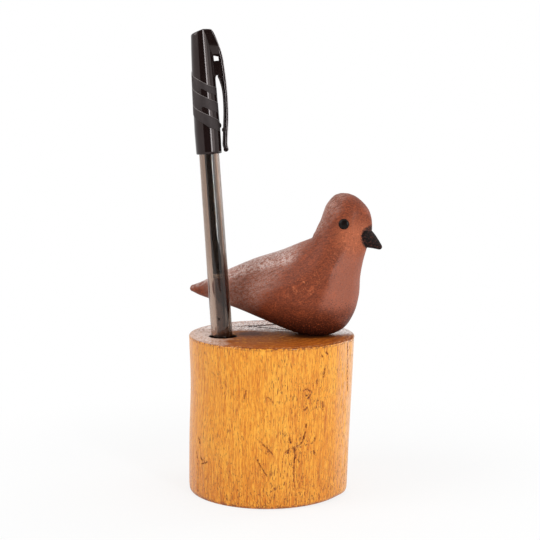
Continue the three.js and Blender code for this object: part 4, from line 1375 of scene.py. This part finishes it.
# Rectangular lamps: name, place, what it is aimed at, size, power in W and colour
LAMPS = [
    ("left_softbox", (-0.62, -0.24, 0.5), (0, 0, 0.09), (0.5, 0.5), 2.4, WHITE),
    ("right_strip", (0.294, -0.512, 0.22), (-0.02, 0, 0.15), (0.09, 0.3), 1.3, (0.9, 0.97, 1.0)),
    ("right_fill", (0.433, -0.394, 0.22), (-0.02, 0, 0.15), (0.23, 0.3), 0.42, WHITE),
    ("top_softbox", (0.1, 0.15, 0.85), (0, 0, 0.06), (0.6, 0.5), 1.2, WHITE),
    ("right_rim", (0.6, 0.32, 0.25), (0, 0, 0.05), (0.35, 0.5), 1.1, WHITE),
]
FLOOR_HALF = 3.0
# The dark card: its place in depth, its left and right ends and its height
CARD = (-0.75, -0.5, 0.33, 0.7)


def white_when_seen(finish):
    """1 for rays from the camera, from gloss and through clear pieces, and 0 for soft light."""
    camera = finish.add("ShaderNodeLightPath", output="Is Camera Ray")
    return camera.larger(camera.sibling("Is Glossy Ray")).larger(camera.sibling("Is Transmission Ray"))


class HOLDER_OT_stage(Operator):
    """Set the white floor, the soft light and the camera"""
    bl_idname = "pen_holder.stage"
    bl_label = "Stage"

    def execute(self, context):
        settings = context.scene.pen_holder_stage
        self.add_floor()
        self.add_dark_card()
        self.add_surroundings(context, settings)
        for lamp in LAMPS:
            self.add_lamp(*lamp)
        self.add_camera(context, settings)
        context.scene.view_settings.view_transform = "Standard"
        return {"FINISHED"}

    def add_floor(self):
        finish = Finish("white_floor")
        tree = finish.tree
        tree.nodes.remove(finish.shader)
        output = next(n for n in tree.nodes if n.type == "OUTPUT_MATERIAL")
        x, y, _ = finish.parts(finish.place())
        lit = finish.add("ShaderNodeBsdfDiffuse", {}, {"Color": (0.92, 0.92, 0.92)})
        white = finish.add("ShaderNodeEmission", {}, {"Color": WHITE, "Strength": 1.0})
        share = white_when_seen(finish) * (0.78 + 0.22 * flat_length(x, y).step(60.0, 190.0))
        mixed = finish.add("ShaderNodeMixShader", {}, {0: share, 1: lit, 2: white})
        tree.links.new(mixed.socket, output.inputs["Surface"])
        self.add_sheet("floor", [(-FLOOR_HALF, -FLOOR_HALF, 0), (FLOOR_HALF, -FLOOR_HALF, 0),
                                 (FLOOR_HALF, FLOOR_HALF, 0), (-FLOOR_HALF, FLOOR_HALF, 0)], finish)

    def add_dark_card(self):
        """A dark card behind the camera, as in a photo studio. It only shows in reflections."""
        finish = Finish("dark_card")
        mottle = finish.noise(finish.place(), (0.01, 0.01, 0.01))
        finish.surface(Base_Color=finish.mix(tint(30, 28, 28), tint(44, 42, 42), mottle), Roughness=0.9)
        back, left, right, top = CARD
        corners = [(left, back, 0), (right, back, 0), (right, back, top), (left, back, top)]
        card = self.add_sheet("dark_card", corners, finish)
        card.visible_camera = card.visible_diffuse = card.visible_transmission = card.visible_shadow = False

    def add_sheet(self, name, corners, finish):
        mesh = bpy.data.meshes.new(name)
        mesh.from_pydata(corners, [], [(0, 1, 2, 3)])
        sheet = bpy.data.objects.new(name, mesh)
        mesh.materials.append(finish.material)
        bpy.context.scene.collection.objects.link(sheet)
        return sheet

    def add_surroundings(self, context, settings):
        world = bpy.data.worlds.new("white_surroundings")
        context.scene.world = world
        finish = Finish(world)
        seen = white_when_seen(finish)
        finish.surface(Color=WHITE, Strength=settings.ambient + (1.0 - settings.ambient) * seen)

    def add_lamp(self, name, place, target, size, power, shade):
        lamp = bpy.data.lights.new(name, "AREA")
        lamp.shape = "RECTANGLE"
        lamp.size, lamp.size_y = size
        lamp.energy = power
        lamp.color = shade
        holder = bpy.data.objects.new(name, lamp)
        holder.location = place
        holder.rotation_euler = (Vector(target) - Vector(place)).to_track_quat("-Z", "Y").to_euler()
        bpy.context.scene.collection.objects.link(holder)

    def add_camera(self, context, settings):
        camera = bpy.data.cameras.new("camera")
        camera.lens = settings.lens
        camera.sensor_width = 36.0
        camera.clip_start = 0.01
        holder = bpy.data.objects.new("camera", camera)
        holder.location = (settings.camera_x, -settings.camera_distance, settings.camera_height)
        holder.rotation_euler = (math.pi / 2 - settings.pitch, 0, 0)
        context.scene.collection.objects.link(holder)
        context.scene.camera = holder


OPERATORS = (HOLDER_OT_log_block, HOLDER_OT_dove, HOLDER_OT_barrel, HOLDER_OT_cap, HOLDER_OT_clip,
             HOLDER_OT_grip_bands, HOLDER_OT_stage)


class HOLDER_PT_panel(Panel):
    """Lists the pieces of the pen holder and their sizes"""
    bl_idname = "HOLDER_PT_panel"
    bl_label = "Pen holder"
    bl_space_type = "VIEW_3D"
    bl_region_type = "UI"
    bl_category = "Pen holder"

    def draw(self, context):
        for operator in OPERATORS:
            self.layout.operator(operator.bl_idname)
        for name in SETTINGS:
            group = getattr(context.scene, name)
            box = self.layout.box()
            for key in group.__annotations__:
                box.prop(group, key)


SETTINGS = {
    "pen_holder_block": LogBlockSettings,
    "pen_holder_dove": DoveSettings,
    "pen_holder_pen": PenSettings,
    "pen_holder_stage": StageSettings,
}


def register():
    for group in (*SETTINGS.values(), *OPERATORS, HOLDER_PT_panel):
        bpy.utils.register_class(group)
    for name, group in SETTINGS.items():
        setattr(bpy.types.Scene, name, PointerProperty(type=group))


def unregister():
    for name in SETTINGS:
        delattr(bpy.types.Scene, name)
    for group in reversed((*SETTINGS.values(), *OPERATORS, HOLDER_PT_panel)):
        bpy.utils.unregister_class(group)


def main():
    register()
    bpy.ops.pen_holder.stage()
    bpy.ops.pen_holder.log_block()
    bpy.ops.pen_holder.dove()
    bpy.ops.pen_holder.barrel()
    bpy.ops.pen_holder.cap()
    bpy.ops.pen_holder.grip_bands()
    bpy.ops.pen_holder.clip()


if __name__ == "__main__":
    main()
